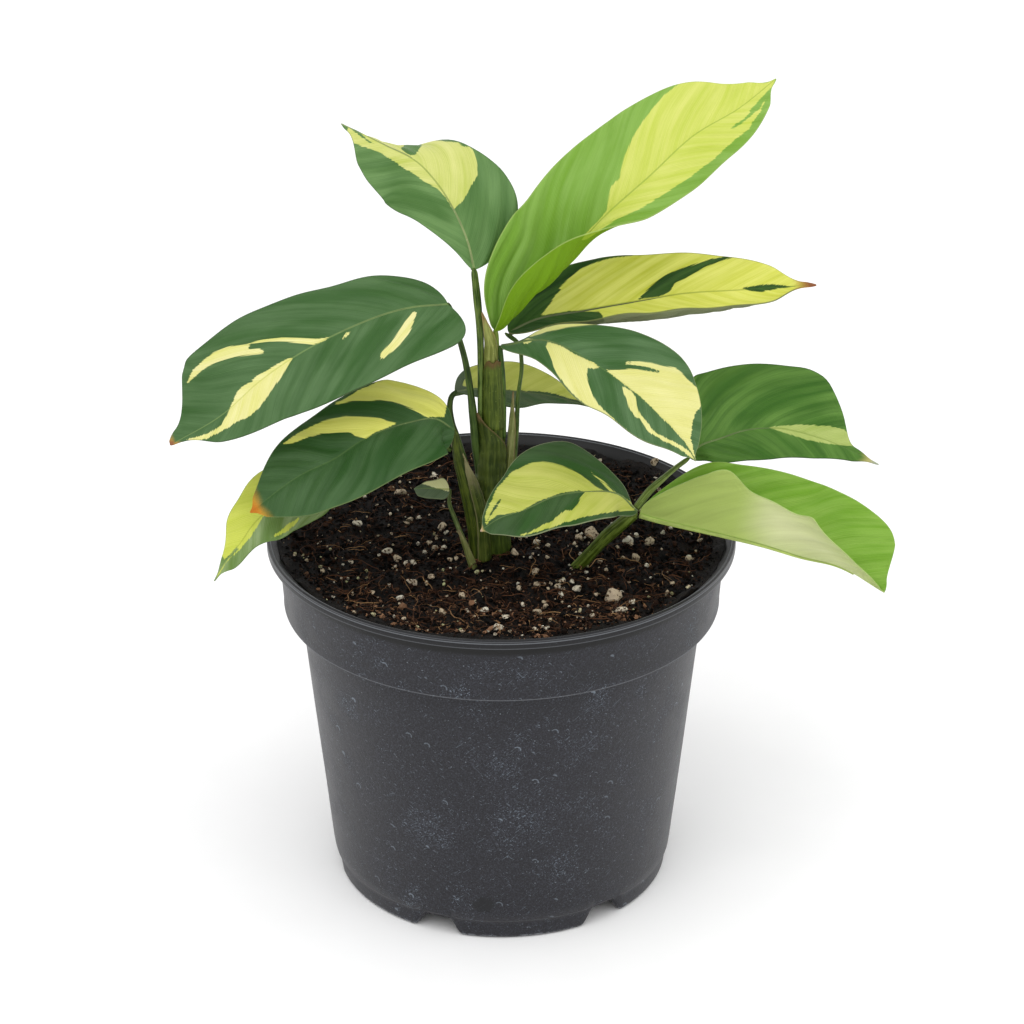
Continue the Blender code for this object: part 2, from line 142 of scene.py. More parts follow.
class Leaf(NamedTuple):
    """One blade. Lists run from the neck to the tip, pairs are the left half and the right half.

    midrib: places that the midrib runs through
    face: directions that the upper face looks in
    width: half widths at even stops, before both ends are rounded off
    rise: angles in degrees at which the halves leave the midrib towards the upper face
    curl: how much further the halves turn up on the way to their edges, in degrees
    lobe: how far each half's base reaches back past the neck
    drip: share of the length that is drawn out into a narrow tip
    """

    midrib: tuple
    face: tuple
    width: tuple
    rise: tuple = ((0,), (0,))
    curl: tuple = ((0,), (0,))
    lobe: tuple = (0, 0)
    drip: float = 0.03


LEAVES = {
    "leaf_top_left": Leaf(
        midrib=((-9, -8, 233.5), (-11, -5.5, 242), (-15.5, -2, 252), (-21, 2, 260), (-28, 5, 267),
                (-39, 8, 272), (-53.5, 10, 279)),
        face=((0.2, -0.9, 0.3), (0, -0.8, 0.6), (-0.2, -0.7, 0.7)),
        width=((5.5, 9.5, 13.5, 17.5, 18, 14.5, 8), (19, 25, 22.5, 17.5, 18, 16, 8)),
        rise=((10, 5), (10, 8, 5, -5, -45, -70, -70)),
        curl=((-10,), (-10, -10, -10, -20, -30, -20, -10)),
        drip=0.1,
    ),
    "leaf_tall": Leaf(
        midrib=((-2, -8, 211.5), (6, -8, 224), (20, -6, 235), (36, -1, 251), (50, 5, 262), (65, 12, 274),
                (81, 18, 282), (93, 24, 290)),
        face=((0.3, -0.9, 0.3), (0.1, -0.8, 0.6), (0, -0.7, 0.7)),
        width=((13, 27, 25, 24, 23, 19, 5), (24, 28, 20, 14, 15.5, 16, 10)),
        rise=((10, 5, 5, 5, 5), (36, 42, 60, 36, 10, 5, 5)),
        curl=((20, 10, -5, -5), (150, 140, 80, 0, -5, -5, -5)),
        drip=0.04,
    ),
    "leaf_right_upper": Leaf(
        midrib=((2.5, -5, 209.5), (11, -3, 213), (29, 1, 215), (46, 5, 216.5), (62, 7, 218.5),
                (82, 8, 219.5), (108, 8, 221.5)),
        face=((-0.2, -0.3, 0.9), (0, -0.3, 0.9), (0, -0.3, 0.9)),
        width=((13, 20, 19, 16, 14.5, 12.5, 6), (12, 15, 18, 20, 18, 13, 7)),
        rise=((25,), (-25, -25, -28, -30, -30, -25, -10)),
        curl=((5,), (60, 90, 110, 110, 100, 70, 20)),
        drip=0.09,
    ),
    "leaf_middle_right": Leaf(
        midrib=((0, -9, 206), (16, -20, 212.5), (32, -30, 208), (41, -35, 203.5), (51, -42, 197),
                (60, -47, 189.5), (65, -50, 182)),
        face=((0.2, -0.7, 0.7), (0.3, -0.6, 0.7), (0.4, -0.7, 0.5)),
        width=((3, 6.5, 12.5, 19, 22.5, 19.5, 3.5), (5.5, 9, 12, 15.5, 14.5, 14, 7)),
        rise=((-60, 5, 10, 10, 10), (5,)),
        curl=((-10,), (-10,)),
    ),
    "leaf_left_large": Leaf(
        midrib=((-18, -11, 222), (-30, -16, 223), (-56, -26, 217), (-68, -31, 212), (-80, -36, 205),
                (-93, -42, 195), (-110, -46, 186)),
        face=((-0.1, -0.6, 0.8), (-0.1, -0.6, 0.8), (-0.3, -0.7, 0.6)),
        width=((32, 27, 24, 22, 18.5, 13, 5), (21, 20, 19.5, 22.5, 26, 30.5, 26)),
        rise=((5,), (5,)),
        curl=((-10,), (-10,)),
        lobe=(12, 0),
        drip=0.09,
    ),
    "leaf_left_lower": Leaf(
        midrib=((-16, -20, 179.5), (-22, -23, 185), (-31, -28, 186), (-46, -35, 183), (-56, -40, 178),
                (-67, -44, 174), (-84, -50, 163)),
        face=((-0.1, -0.6, 0.8), (-0.1, -0.6, 0.8), (-0.3, -0.7, 0.6)),
        width=((24, 21, 19.5, 18.5, 17.5, 18, 10), (6, 21, 20, 18, 18, 14, 7)),
        rise=((5,), (5,)),
        curl=((-10,), (-10,)),
        lobe=(3, 0),
    ),
    "leaf_left_low": Leaf(
        midrib=((-58.5, -22, 155.5), (-68.5, -27, 156.5), (-77, -31, 156), (-83.5, -35, 152),
                (-89, -38, 145), (-94, -40, 139), (-98, -41, 132.5)),
        face=((-0.1, -0.6, 0.8), (-0.3, -0.6, 0.7), (-0.7, -0.6, 0.3)),
        width=((14, 12, 12.5, 12, 6.5, 6.5, 3), (14, 16, 16, 11.5, 9.5, 4, 1.5)),
        rise=((5,), (5,)),
        curl=((-10,), (-10,)),
        drip=0.1,
    ),
    "leaf_back": Leaf(
        midrib=((-15.5, -7, 188), (-10.5, 0.5, 185.5), (2.5, 9.5, 181), (16, 14.5, 177), (28, 17.5, 172.5),
                (34, 18.5, 170.5)),
        face=((0.1, -0.5, 0.8),),
        width=((6, 10, 10.5, 11, 8.5, 5, 2), (9, 13, 11, 9, 5, 2, 1)),
        rise=((15,), (5,)),
        curl=((0,), (30,)),
    ),
    "leaf_right_dark": Leaf(
        midrib=((65, -8, 163.5), (68, -8, 167.5), (76, -6, 170), (84, -4, 172), (94, -2, 172),
                (111, -2, 168), (131, -6, 160)),
        face=((0.1, -0.5, 0.8), (0.1, -0.5, 0.8), (0.2, -0.5, 0.8)),
        width=((35, 35, 32, 27.5, 25, 23.8, 23.3, 23.8, 21.5, 13.5, 3.6, 2.6, 2.2),
               (12.5, 12, 12.5, 11, 9, 6, 4)),
        rise=((15,), (-10,)),
        drip=0.08,
    ),
    "leaf_front_small": Leaf(
        midrib=((46.5, -28, 152.5), (40, -30, 160), (29, -34, 163), (18, -38, 163), (8, -42, 160),
                (-1, -45, 158), (-7, -46, 154)),
        face=((0, -0.5, 0.8), (-0.1, -0.5, 0.8), (-0.3, -0.5, 0.8)),
        width=((10, 12, 12.5, 13, 12.5, 12.5, 8), (-2, 8, 20.5, 22, 19.5, 16, 6)),
    ),
    "leaf_front_right": Leaf(
        midrib=((47.6, -28.4, 152), (53, -31, 151.5), (62, -35, 151), (75, -40, 150), (89, -44, 148),
                (102, -47, 145), (113, -49, 143), (130, -50, 133)),
        face=((0, -0.1, 0.9), (0.1, -0.1, 0.9), (0.5, -0.1, 0.8)),
        width=((20, 28, 26.5, 26, 27.5, 30, 42),
               (17, 19.5, 22.3, 26, 28.8, 20.8, 19.8, 20.4, 26.5, 22.5, 14, 10.5, 8)),
        rise=((50,), (85, 85, 80, 50, 30)),
        curl=((-10,), (0,)),
    ),
    "leaf_tiny": Leaf(
        midrib=((-18, -14, 154), (-24, -15, 155), (-30, -16, 155.5)),
        face=((0, -0.5, 0.8),),
        width=((7, 6, 5, 4.7, 4.8, 5.2, 7), (6, 5.5, 3.7, 2.9, 2.6, 1.7, 1)),
        rise=((10,), (10,)),
    ),
}


class Marks(NamedTuple):
    """Where a blade is lime and where it is green, as outlines in the photograph's pixels.

    base_lime: the whole blade is lime outside the outlines
    lime: lime patches
    green: green patches, over the lime ones
    late_lime: lime streaks in the green patches
    """

    base_lime: bool = False
    lime: tuple = ()
    green: tuple = ()
    late_lime: tuple = ()


MARKS = {
    "leaf_top_left": Marks(
        lime=(((453, 210), (464, 200), (473, 183), (477.6, 175), (476.7, 169), (477, 163), (473.6, 151.4),
               (469, 147), (464, 148.5), (459, 143), (423.6, 140), (423, 128), (384, 128), (384, 139),
               (361, 134), (354, 132), (348, 127), (347, 133), (349, 139), (355, 144), (369, 148.6),
               (382, 153.6), (389, 158.6), (403.6, 168), (415, 175), (428, 184), (439.3, 190), (447, 200)),),
        green=(((384, 140), (392, 141.4), (406, 141.4), (423, 141.4), (422, 145.7), (419, 151),
                (413.6, 156.4), (406, 153.6), (401, 149.3), (403.6, 146.4), (402, 144.3), (393.6, 143)),
               ((352, 126), (361, 134), (369, 141), (375, 145), (368, 142), (358, 135))),
    ),
    "leaf_tall": Marks(
        lime=(((684, 80), (674, 88), (664, 96), (658, 103), (652, 109), (645, 119), (638, 129), (632, 139),
               (625, 155), (621, 169), (618.6, 181), (614.6, 181), (614, 184), (611, 187), (610, 193),
               (607.4, 203), (607, 210), (597, 222), (585, 234), (581, 240), (585, 239), (614, 222),
               (649, 204), (682, 183), (712, 161), (736, 139), (749, 129), (762, 108), (768, 92),
               (773, 85), (776, 78), (780, 66), (700, 66)),),
        green=(((730, 129), (745, 118), (753, 107), (769, 90), (770, 94), (758, 111), (745, 121),
                (735, 128)),),
    ),
    "leaf_right_upper": Marks(
        base_lime=True,
        green=(((496, 340), (514, 309), (529, 295), (551, 281), (560, 290), (546, 310), (536, 321),
                (522, 328), (508, 342)),
               ((545, 287), (560, 270), (590, 250), (620, 240), (633, 254), (633, 255.5), (605, 259.6),
                (581, 269), (557, 290)),
               ((637, 300), (651, 287), (665, 276), (685, 268), (711, 259), (729, 256.6), (737, 257.4),
                (725, 260), (705, 267), (685, 279), (675, 283), (670, 292), (661, 296)),
               ((741, 288), (755, 286), (769, 284.4), (780, 285), (795, 287), (779, 289), (761, 292),
                (749, 291)),
               ((512, 324), (530, 318), (569, 311), (600, 312), (606, 322), (541, 336), (514, 348))),
    ),
    "leaf_middle_right": Marks(
        lime=(((547.2, 342.2), (559.4, 345.6), (572.8, 353.3), (586.1, 360), (592.8, 362.2), (599.4, 367.8),
               (595, 369.3), (587.2, 367.8), (586.6, 375.6), (589.4, 386.7), (592.8, 395.6), (597.2, 404.4),
               (603.9, 411.1), (610.6, 416.7), (619.4, 423.3), (629.4, 431.8), (617.2, 422.7),
               (601.7, 415.6), (592.8, 410), (581.7, 402.2), (568.3, 388.9), (559.4, 377.8), (553.2, 366.7),
               (552.3, 361.1), (548.3, 351.1), (546.1, 347.8)),
              ((603.9, 369.3), (619.4, 370), (628.3, 368.4), (637.2, 368.9), (650.6, 371.1), (659.4, 372.7),
               (658.3, 371.1), (646.1, 367.1), (635, 365.1), (623.9, 364), (626.1, 362.2), (639.4, 361.8),
               (650.6, 363.3), (663.9, 366.7), (675, 368.4), (681.7, 373.3), (690.6, 382.2), (700, 391.1),
               (702, 404.4), (695, 413.3), (692.8, 420), (691.7, 426.7), (690.6, 437.8), (692.8, 448.9),
               (696.1, 461.1), (690.6, 451.1), (683.9, 441.1), (677.2, 434.4), (668.3, 424.4),
               (659.4, 415.6), (650.6, 406.7), (641.7, 397.8), (632.8, 391.1), (623.9, 384.4),
               (612.8, 375.6)),
              ((622.1, 386.7), (623.9, 393.3), (627.2, 400), (629.4, 408.9), (633.9, 415.6), (638.3, 418.9),
               (641.7, 421.1), (647.2, 431.1), (657.2, 437.8), (668.3, 443.3), (679.4, 448.9),
               (688.3, 455.6), (696.1, 461.8), (690.6, 453.3), (683.9, 447.8), (672.8, 441.1),
               (663.9, 437.8), (653.9, 431.1), (648.3, 424.4), (643.4, 417.8), (640.6, 415.6),
               (637.2, 406.7), (636.1, 397.8), (630.6, 391.1)),
              ((522.8, 341.6), (528.3, 338.9), (533.9, 339.6), (531.7, 342.2), (528.3, 343.3),
               (523.9, 344.4)),
              ((529.4, 336.7), (539.4, 330), (561.7, 324), (588.3, 320), (619.4, 320), (617, 326.2),
               (595, 325.6), (568.3, 327.8), (543.9, 333.3), (532.8, 336.7))),
    ),
    "leaf_left_large": Marks(
        lime=(((187, 383), (191, 374), (201, 362), (213, 353), (227, 347), (241, 345), (248, 344), (253, 342),
               (265, 339), (281, 337), (301, 338), (317, 339), (331, 337), (323, 342), (313, 345),
               (301, 343.6), (285, 342), (269, 342), (249, 345), (248.6, 349.6), (259, 349), (265, 352),
               (263, 353.6), (251, 355), (235, 357), (219, 361), (205, 368), (195, 377), (188, 383.6)),
              ((293, 357), (285, 360), (273, 367), (259, 375), (253, 380), (251.4, 384), (250, 382),
               (243, 386), (237, 392), (234, 400), (230, 408), (227, 416), (223, 422), (222, 425),
               (211, 432), (201, 436), (187, 439.6), (197, 440.4), (207, 439), (217, 434), (229, 427),
               (239, 421), (249, 417), (259, 408), (267, 398), (273, 388), (281, 378), (287, 368),
               (293, 359)),
              ((413, 312), (416, 313), (413, 324), (408, 334), (399, 346), (389, 354), (381, 361),
               (380, 357), (381, 353), (391, 343), (399, 332), (405, 322)),
              ((351, 331), (350, 334), (343, 340.4), (342, 338), (346, 333))),
    ),
    "leaf_left_lower": Marks(
        lime=(((333.6, 404.4), (346.4, 398.9), (350.9, 395.3), (360.9, 389.8), (373.6, 384.4), (384.5, 376),
               (399.1, 376), (413.6, 380), (434, 390), (446, 405.3), (444, 417.1), (433.6, 417.1),
               (425.5, 417.1), (413.6, 409.8), (400.9, 404.4), (391.8, 401.6), (379.1, 400.2),
               (364.5, 401.3), (353.6, 400.7), (337.3, 404.9)),
              ((282.7, 444.4), (293.6, 437.1), (306.4, 428.9), (322.7, 421.6), (344.5, 417.1), (366.4, 418),
               (380.9, 418.9), (386.4, 421.6), (397.3, 423.5), (384.5, 428.9), (373.6, 433.5),
               (364.5, 440.7), (363.6, 438), (355.5, 436.2), (350, 432.5), (337.3, 432.2), (322.7, 433.5),
               (308.2, 437.1), (291.8, 443.5))),
    ),
    "leaf_left_low": Marks(
        lime=(((264.5, 455), (240, 480), (222, 519), (222, 524), (220, 536), (220, 550.7), (224.5, 559.8),
               (231.8, 553.5), (237.3, 547), (240, 549), (228, 560), (222, 570), (214, 585), (219, 573),
               (229, 560), (240.9, 548.9), (251.8, 536.2), (259, 523.5), (264.5, 516)),
              ((299, 518), (290, 523.5), (282.7, 528.9), (272.7, 536.2), (271.8, 538), (279, 536.2),
               (288.2, 530.7), (297.3, 521.6))),
        green=(((238.2, 545.3), (231.8, 552.5), (225.5, 559.8), (228.2, 557), (237.3, 548)),),
    ),
    "leaf_back": Marks(
        lime=(((462, 386), (466, 372), (476, 362), (504, 355), (540, 355), (600, 380), (600, 405),
               (583, 402), (547, 392), (506, 390), (474, 388)),),
    ),
    "leaf_right_dark": Marks(
        lime=(((767.2, 427.8), (781.7, 425.6), (801.7, 424.9), (828.3, 425.6), (832.8, 426.7), (843.9, 430),
               (855, 437.8), (860, 446.7), (841.7, 445.6), (823.9, 443.3), (806.1, 440),
               (786.1, 433.3)),),
    ),
    "leaf_front_small": Marks(
        lime=(((485, 522), (486, 513.5), (490, 503.5), (496, 491), (503.8, 481), (512.5, 472), (525, 466),
               (531, 463), (542.5, 462), (551, 463), (562.5, 466), (572.5, 469.8), (581, 474.8),
               (588.8, 481), (595, 486), (603.8, 491), (612.5, 493.5), (622.5, 496), (634, 504.8),
               (634, 510.5), (622.5, 511), (610, 512), (595, 514.8), (581, 518.5), (562.5, 523.5),
               (550, 528.5), (537.5, 532), (525, 535.4), (520, 535.4), (529, 533), (541, 526), (552.5, 521),
               (560, 514.8), (567, 509.8), (568.8, 511), (572, 509.8), (577.5, 504), (581, 497),
               (585.6, 492.2), (578.8, 490.6), (570, 491.6), (561, 493.5), (550, 497), (537.5, 502),
               (528.8, 507), (521, 511.6), (510, 513.5), (497, 515.4), (490, 521), (487, 524.8)),),
        green=(((488, 519.8), (491, 512), (495.6, 504.8), (500.6, 499.5), (500, 502), (495.6, 509.8),
                (491, 516), (487.5, 521)),),
        late_lime=(((590.6, 472), (597.5, 478), (605, 483.5), (612.5, 491), (616, 494), (611, 493),
                    (606, 488.5), (601, 482)),),
    ),
    "leaf_front_right": Marks(
        lime=(((762, 496), (790, 500), (822, 524), (846, 556), (862, 576), (836, 568), (800, 556),
               (768, 548), (756, 524)),),
    ),
    "leaf_tiny": Marks(
        lime=(((421, 483.5), (435.5, 475), (453, 474), (454, 492), (446.4, 491.6), (431.8, 487)),),
    ),
}


class Look(NamedTuple):
    """Colours of a blade as they look in even white light, 0 to 255, each from deep to pale.

    green, lime: the two kinds of upper side
    under: the paler lower side where the upper side is green and where it is lime
    rib: the midrib's line in the green and in the lime
    lean: how far a vein runs towards the tip for each millimetre that it runs outwards
    vivid: deeper patches in the green
    margin: thin line along the edge
    soft: half of the width over which green turns into lime
    brown: size of the dry tip
    slot: the record's material slot, not used
    """

    green: tuple
    lime: tuple
    under: tuple = ((118, 140, 84), (196, 206, 128))
    rib: tuple = ((128, 156, 88), (170, 178, 80))
    lean: float = 1.0
    vivid: tuple = (38, 86, 16)
    margin: tuple = (52, 78, 40)
    soft: float = 0.16
    brown: float = 0.0
    dry: tuple = (128, 92, 38)
    slot: str = "leaf_dark"


LOOKS = {
    "leaf_top_left": Look(
        green=((72, 112, 52), (118, 156, 92)), lime=((184, 198, 80), (232, 232, 150)),
        under=((150, 164, 110), (214, 216, 150)), rib=((152, 168, 108), (110, 136, 46)), lean=1.2,
        vivid=(60, 104, 36), margin=(74, 110, 62)),
    "leaf_tall": Look(
        green=((116, 162, 46), (150, 192, 92)), lime=((192, 210, 66), (228, 232, 126)),
        under=((122, 166, 16), (164, 198, 48)), rib=((136, 178, 72), (138, 168, 46)), lean=1.5,
        vivid=(118, 166, 42), margin=(174, 198, 116), slot="leaf_bright"),
    "leaf_right_upper": Look(
        green=((6, 54, 0), (72, 110, 42)), lime=((204, 210, 52), (248, 248, 134)),
        under=((112, 122, 84), (140, 148, 108)), rib=((70, 104, 30), (132, 148, 38)), lean=2.0,
        vivid=(14, 60, 0), margin=(120, 128, 60), brown=5.0, dry=(150, 92, 56), slot="leaf_lime"),
    "leaf_middle_right": Look(
        green=((56, 94, 44), (96, 130, 84)), lime=((222, 220, 122), (242, 238, 164)),
        rib=((90, 124, 64), (214, 212, 120)), lean=1.1, margin=(150, 160, 110)),
    "leaf_left_large": Look(
        green=((56, 94, 42), (92, 126, 78)), lime=((220, 220, 104), (250, 244, 182)),
        rib=((132, 158, 92), (196, 200, 96)), lean=1.3, brown=2.2, dry=(150, 96, 62)),
    "leaf_left_lower": Look(
        green=((40, 78, 26), (74, 108, 62)), lime=((218, 220, 84), (248, 246, 136)),
        rib=((84, 116, 60), (170, 178, 60)), lean=1.2, vivid=(26, 74, 6), margin=(120, 140, 84), brown=5.0,
        dry=(196, 116, 20)),
    "leaf_left_low": Look(
        green=((104, 134, 54), (164, 186, 132)), lime=((198, 212, 62), (228, 234, 110)),
        rib=((150, 170, 100), (170, 182, 66)), lean=1.1, vivid=(86, 124, 40), margin=(110, 140, 70),
        slot="leaf_bright"),
    "leaf_back": Look(
        green=((52, 80, 42), (92, 112, 78)), lime=((186, 196, 78), (222, 226, 116)),
        rib=((110, 122, 76), (150, 162, 70)), lean=1.5),
    "leaf_right_dark": Look(
        green=((42, 92, 6), (108, 152, 64)), lime=((160, 182, 86), (196, 210, 126)),
        rib=((96, 130, 62), (128, 150, 64)), lean=1.3, vivid=(44, 98, 4), brown=4.4, dry=(168, 176, 150)),
    "leaf_front_small": Look(
        green=((42, 72, 28), (74, 104, 60)), lime=((176, 188, 64), (216, 218, 118)),
        rib=((116, 138, 78), (162, 174, 76)), lean=1.1, margin=(170, 176, 136), brown=1.4,
        dry=(190, 164, 140)),
    "leaf_front_right": Look(
        green=((98, 152, 0), (150, 190, 80)), lime=((112, 164, 8), (158, 198, 84)),
        under=((184, 206, 108), (232, 238, 178)), rib=((140, 184, 70), (150, 190, 80)), lean=1.2,
        vivid=(104, 158, 0), margin=(170, 196, 110), soft=9.0, slot="leaf_bright"),
    "leaf_tiny": Look(
        green=((76, 98, 66), (110, 130, 96)), lime=((228, 228, 160), (246, 246, 190)), lean=0.8,
        vivid=(70, 94, 60), margin=(130, 142, 110)),
}


class Stalk(NamedTuple):
    """A round stem: places it runs through, radius at even stops, deep and pale colour, ridges round it."""

    route: tuple
    radius: tuple
    colours: tuple
    planted: bool = False
    ridges: int = 5


STALKS = {
    "main_stem": Stalk(
        ((-2.6, -8.5, 127), (-3.3, -9, 148), (-3.1, -9, 167), (-2.6, -9, 178), (-2.5, -9, 190),
         (-2.9, -9, 199.5)),
        (5.6, 5.6, 5, 3.8, 3.3, 2.8), ((46, 64, 10), (84, 102, 32)), planted=True, ridges=9),
    "petiole_tall": Stalk(
        ((-1.6, -7.3, 200.3), (-1.6, -7, 205), (-1.9, -7.6, 210.9)), (1.1, 1, 0.9),
        ((104, 130, 40), (150, 172, 72))),
    "petiole_top_left": Stalk(
        ((-7.2, -9, 176), (-7, -9, 190), (-6.9, -9, 201), (-7.2, -9, 212), (-8, -8.5, 222.5), (-9, -8, 233)),
        (0.9, 1.0, 1.1, 1.2, 1.3, 1.1), ((44, 70, 16), (110, 132, 60))),
    "petiole_middle_right": Stalk(
        ((1, -10, 172), (1, -9.8, 180), (0.8, -9.8, 190), (0.4, -9.9, 197), (-0.3, -9.3, 205)),
        (0.7, 0.8, 0.9, 0.9, 0.9), ((40, 70, 20), (92, 118, 50))),
    "petiole_right_upper": Stalk(
        ((3.2, -7.6, 151), (4.4, -7.5, 162), (5.2, -7, 173.5), (5.9, -6.5, 186.5), (7, -6, 199),
         (6, -5.2, 205), (2.2, -5.1, 208.3)),
        (0.9, 1, 1, 0.8, 0.7, 0.7, 0.8), ((52, 82, 28), (112, 134, 62))),
    "petiole_left_large": Stalk(
        ((-5.6, -8.5, 148), (-8.4, -10, 166), (-9.6, -10, 180.5), (-10.8, -9.5, 191.5), (-12.6, -8.5, 202),
         (-14.6, -7.5, 209.5), (-16.4, -8, 217), (-17.6, -10.3, 221.5)),
        (1.3, 1.5, 1.5, 1.4, 1.2, 1, 0.9, 0.8), ((34, 56, 16), (80, 104, 44))),
    "left_shoot": Stalk(
        ((-8, -15.5, 127), (-9.6, -16, 143), (-11.8, -17, 155), (-14, -18, 165), (-16, -19.5, 178.7)),
        (2.6, 2.4, 2.2, 1.8, 1.1), ((42, 56, 8), (88, 102, 30)), planted=True, ridges=4),
    "petiole_back": Stalk(
        ((-12.6, -15, 164), (-15, -12.4, 172), (-17, -10.5, 178.5), (-17.6, -8.8, 183.5),
         (-17, -8, 186.5), (-15.9, -7.5, 187.8)),
        (1.4, 1.3, 1.2, 1.1, 1, 0.9), ((36, 58, 16), (76, 98, 40))),
    "petiole_left_low": Stalk(
        ((-17, -17.6, 171), (-28, -18, 175), (-44, -20, 169), (-53, -21, 161), (-58.1, -21.9, 156)),
        (0.9, 0.9, 0.9, 0.8, 0.8), ((60, 86, 30), (112, 134, 62))),
    "petiole_tiny": Stalk(
        ((-9.2, -20, 127), (-12.8, -18, 136), (-16.2, -15.5, 144), (-18, -14.5, 150), (-17.6, -14.1, 153.2)),
        (0.9, 0.9, 0.8, 0.7, 0.6), ((70, 90, 40), (134, 146, 90)), planted=True),
    "right_shoot": Stalk(
        ((27.4, -18, 127), (36, -22, 139.5), (45.6, -27.6, 151.6)), (2.2, 2.3, 1.9),
        ((62, 80, 8), (124, 146, 58)), planted=True, ridges=4),
    "petiole_right_dark": Stalk(
        ((46.2, -26.3, 153), (51, -22, 157.5), (56, -17, 160), (60, -12.5, 161.5), (64.5, -8.2, 163)),
        (1.3, 1.3, 1.1, 0.9, 0.8), ((74, 96, 24), (134, 154, 76))),
}


class Sheath(NamedTuple):
    """A thin shell round part of a stem.

    route: places on the stem's middle line
    radius: how far the shell stands from it
    turn: direction that the shell's middle looks in, in degrees from +X, anticlockwise from above
    spread: half of the angle that the shell covers
    colours: deep and pale colour of the green part
    dry: colour of its dry edge
    dry_length: how far the dry part reaches down from the tip
    """

    route: tuple
    radius: tuple
    turn: tuple
    spread: tuple
    colours: tuple
    dry: tuple
    dry_length: float


SHEATHS = {
    "main_sheath": Sheath(
        ((-3.6, -9, 190), (-3.4, -9.2, 201.5), (-3.5, -9.9, 207), (-4.3, -10.4, 212.5), (-6, -10.4, 219)),
        (2.6, 2.5, 2.3, 1.8, 1.2), (-80, -80, -85, -95, -110), (150, 120, 90, 60, 10),
        ((112, 120, 50), (162, 168, 92)), dry=(164, 138, 88), dry_length=4.5),
    "sheath_right_upper": Sheath(
        ((1.8, -9.4, 148), (2.4, -9.2, 153), (3.3, -8.8, 164), (4.2, -8.2, 175), (5, -7.6, 188)),
        (2.2, 2, 1.8, 1.6, 1.1), (-120, -120, -125, -130, -150), (80, 80, 75, 60, 12),
        ((104, 114, 54), (150, 154, 96)), dry=(140, 122, 82), dry_length=4),
    "left_sheath": Sheath(
        ((-6.4, -16, 128.2), (-7.6, -16, 146), (-10.2, -16.6, 158), (-13.4, -17.2, 170)),
        (2.9, 2.8, 2.6, 1.7), (-50, -52, -64, -90), (75, 62, 48, 12),
        ((46, 62, 8), (92, 104, 40)), dry=(142, 136, 96), dry_length=17),
}

LOOSE_SHEATHS = {
    "stem_lip": Sheath(
        ((-2.5, -9, 176), (-2.5, -9, 186), (-2.6, -9, 194), (-2.9, -9, 201.2)),
        (4, 3.75, 3.5, 3.15), (-78, -78, -78, -74), (150, 140, 120, 60),
        ((58, 76, 14), (96, 112, 38)), dry=(104, 84, 44), dry_length=3),
    "second_sheath": Sheath(
        ((-3.3, -9, 146), (-3.2, -9, 160), (-3, -9.1, 172), (-4.8, -9.4, 182)),
        (5.9, 5.5, 4.8, 3.8), (-100, -100, -110, -150), (120, 110, 80, 12),
        ((48, 64, 12), (84, 98, 34)), dry=(118, 98, 62), dry_length=3.5),
    "hook_sheath": Sheath(
        ((-15.2, -13.6, 168), (-16.4, -12, 174), (-17.8, -10.9, 180.5)),
        (1.5, 1.4, 0.9), (-150, -150, -165), (90, 70, 12),
        ((96, 94, 50), (134, 124, 84)), dry=(158, 130, 108), dry_length=8),
    "tiny_sheath": Sheath(
        ((-9.4, -20, 126), (-11.4, -19, 132), (-13, -18, 136.5), (-14.4, -17, 140)),
        (1.5, 1.3, 1.1, 0.9), (-90, -95, -100, -110), (110, 95, 70, 12),
        ((78, 88, 34), (128, 132, 76)), dry=(150, 140, 100), dry_length=3),
}

# The larger granules on the soil: place in the photograph's pixels and width in pixels
GRANULES = (
    (400, 492, 13), (436, 474, 12), (418, 514, 6), (410, 517, 7), (443, 524, 9), (446, 531, 6), (437, 537, 6),
    (429, 542, 6), (387, 552, 9), (397, 557, 8), (425, 549, 6), (434, 547, 8), (444, 547, 6), (406, 562, 5),
    (413, 563, 7), (412, 582, 11), (432, 577, 8), (400, 594, 8), (463, 596, 8), (531, 559, 5), (536, 569, 9),
    (519, 589, 7), (537, 587, 7), (562, 580, 7), (557, 587, 7), (561, 594, 7), (577, 589, 8), (545, 601, 8),
    (538, 607, 11), (484, 608, 9), (467, 608, 6), (611, 597, 18), (622, 610, 10), (621, 589, 6),
    (633, 603, 7), (635, 555, 10), (628, 542, 11), (650, 544, 10), (592, 532, 14), (580, 537, 9),
    (637, 532, 6), (536, 540, 7), (547, 546, 6), (505, 617, 8), (547, 627, 6), (535, 627, 5),
    (442, 611, 8), (357, 524, 9), (667, 594, 9), (514, 556, 9), (560, 588, 6), (629, 579, 4),
    (498, 627, 9), (655, 470, 8), (640, 500, 7), (372, 590, 7), (350, 560, 6), (690, 560, 7),
    (700, 540, 6), (676, 520, 7), (560, 455, 7), (600, 462, 6),
)


def unit(vectors):
    """Vectors of length one."""
    return vectors / np.maximum(np.linalg.norm(vectors, axis=-1, keepdims=True), 1e-9)


def through(stops, values, at):
    """Smooth curve through values at rising stops, one row for each place asked for."""
    slopes = np.gradient(values, stops, axis=0)
    cell = np.clip(np.searchsorted(stops, at, side="right") - 1, 0, len(stops) - 2)
    step = (stops[cell + 1] - stops[cell])[:, None]
    t = (at - stops[cell])[:, None] / step
    start = (2 * t**3 - 3 * t**2 + 1) * values[cell] + (t**3 - 2 * t**2 + t) * step * slopes[cell]
    return start + (3 * t**2 - 2 * t**3) * values[cell + 1] + (t**3 - t**2) * step * slopes[cell + 1]


def run_along(places):
    """Distance of each place from the first, along the line through them."""
    steps = np.linalg.norm(np.diff(places, axis=0), axis=1)
    return np.concatenate([[0.0], np.cumsum(steps)])


def curve_at(places, at):
    """Points of the curve through places, by share of its length."""
    places = np.array(places, float)
    run = run_along(places)
    return through(run / run[-1], places, at)


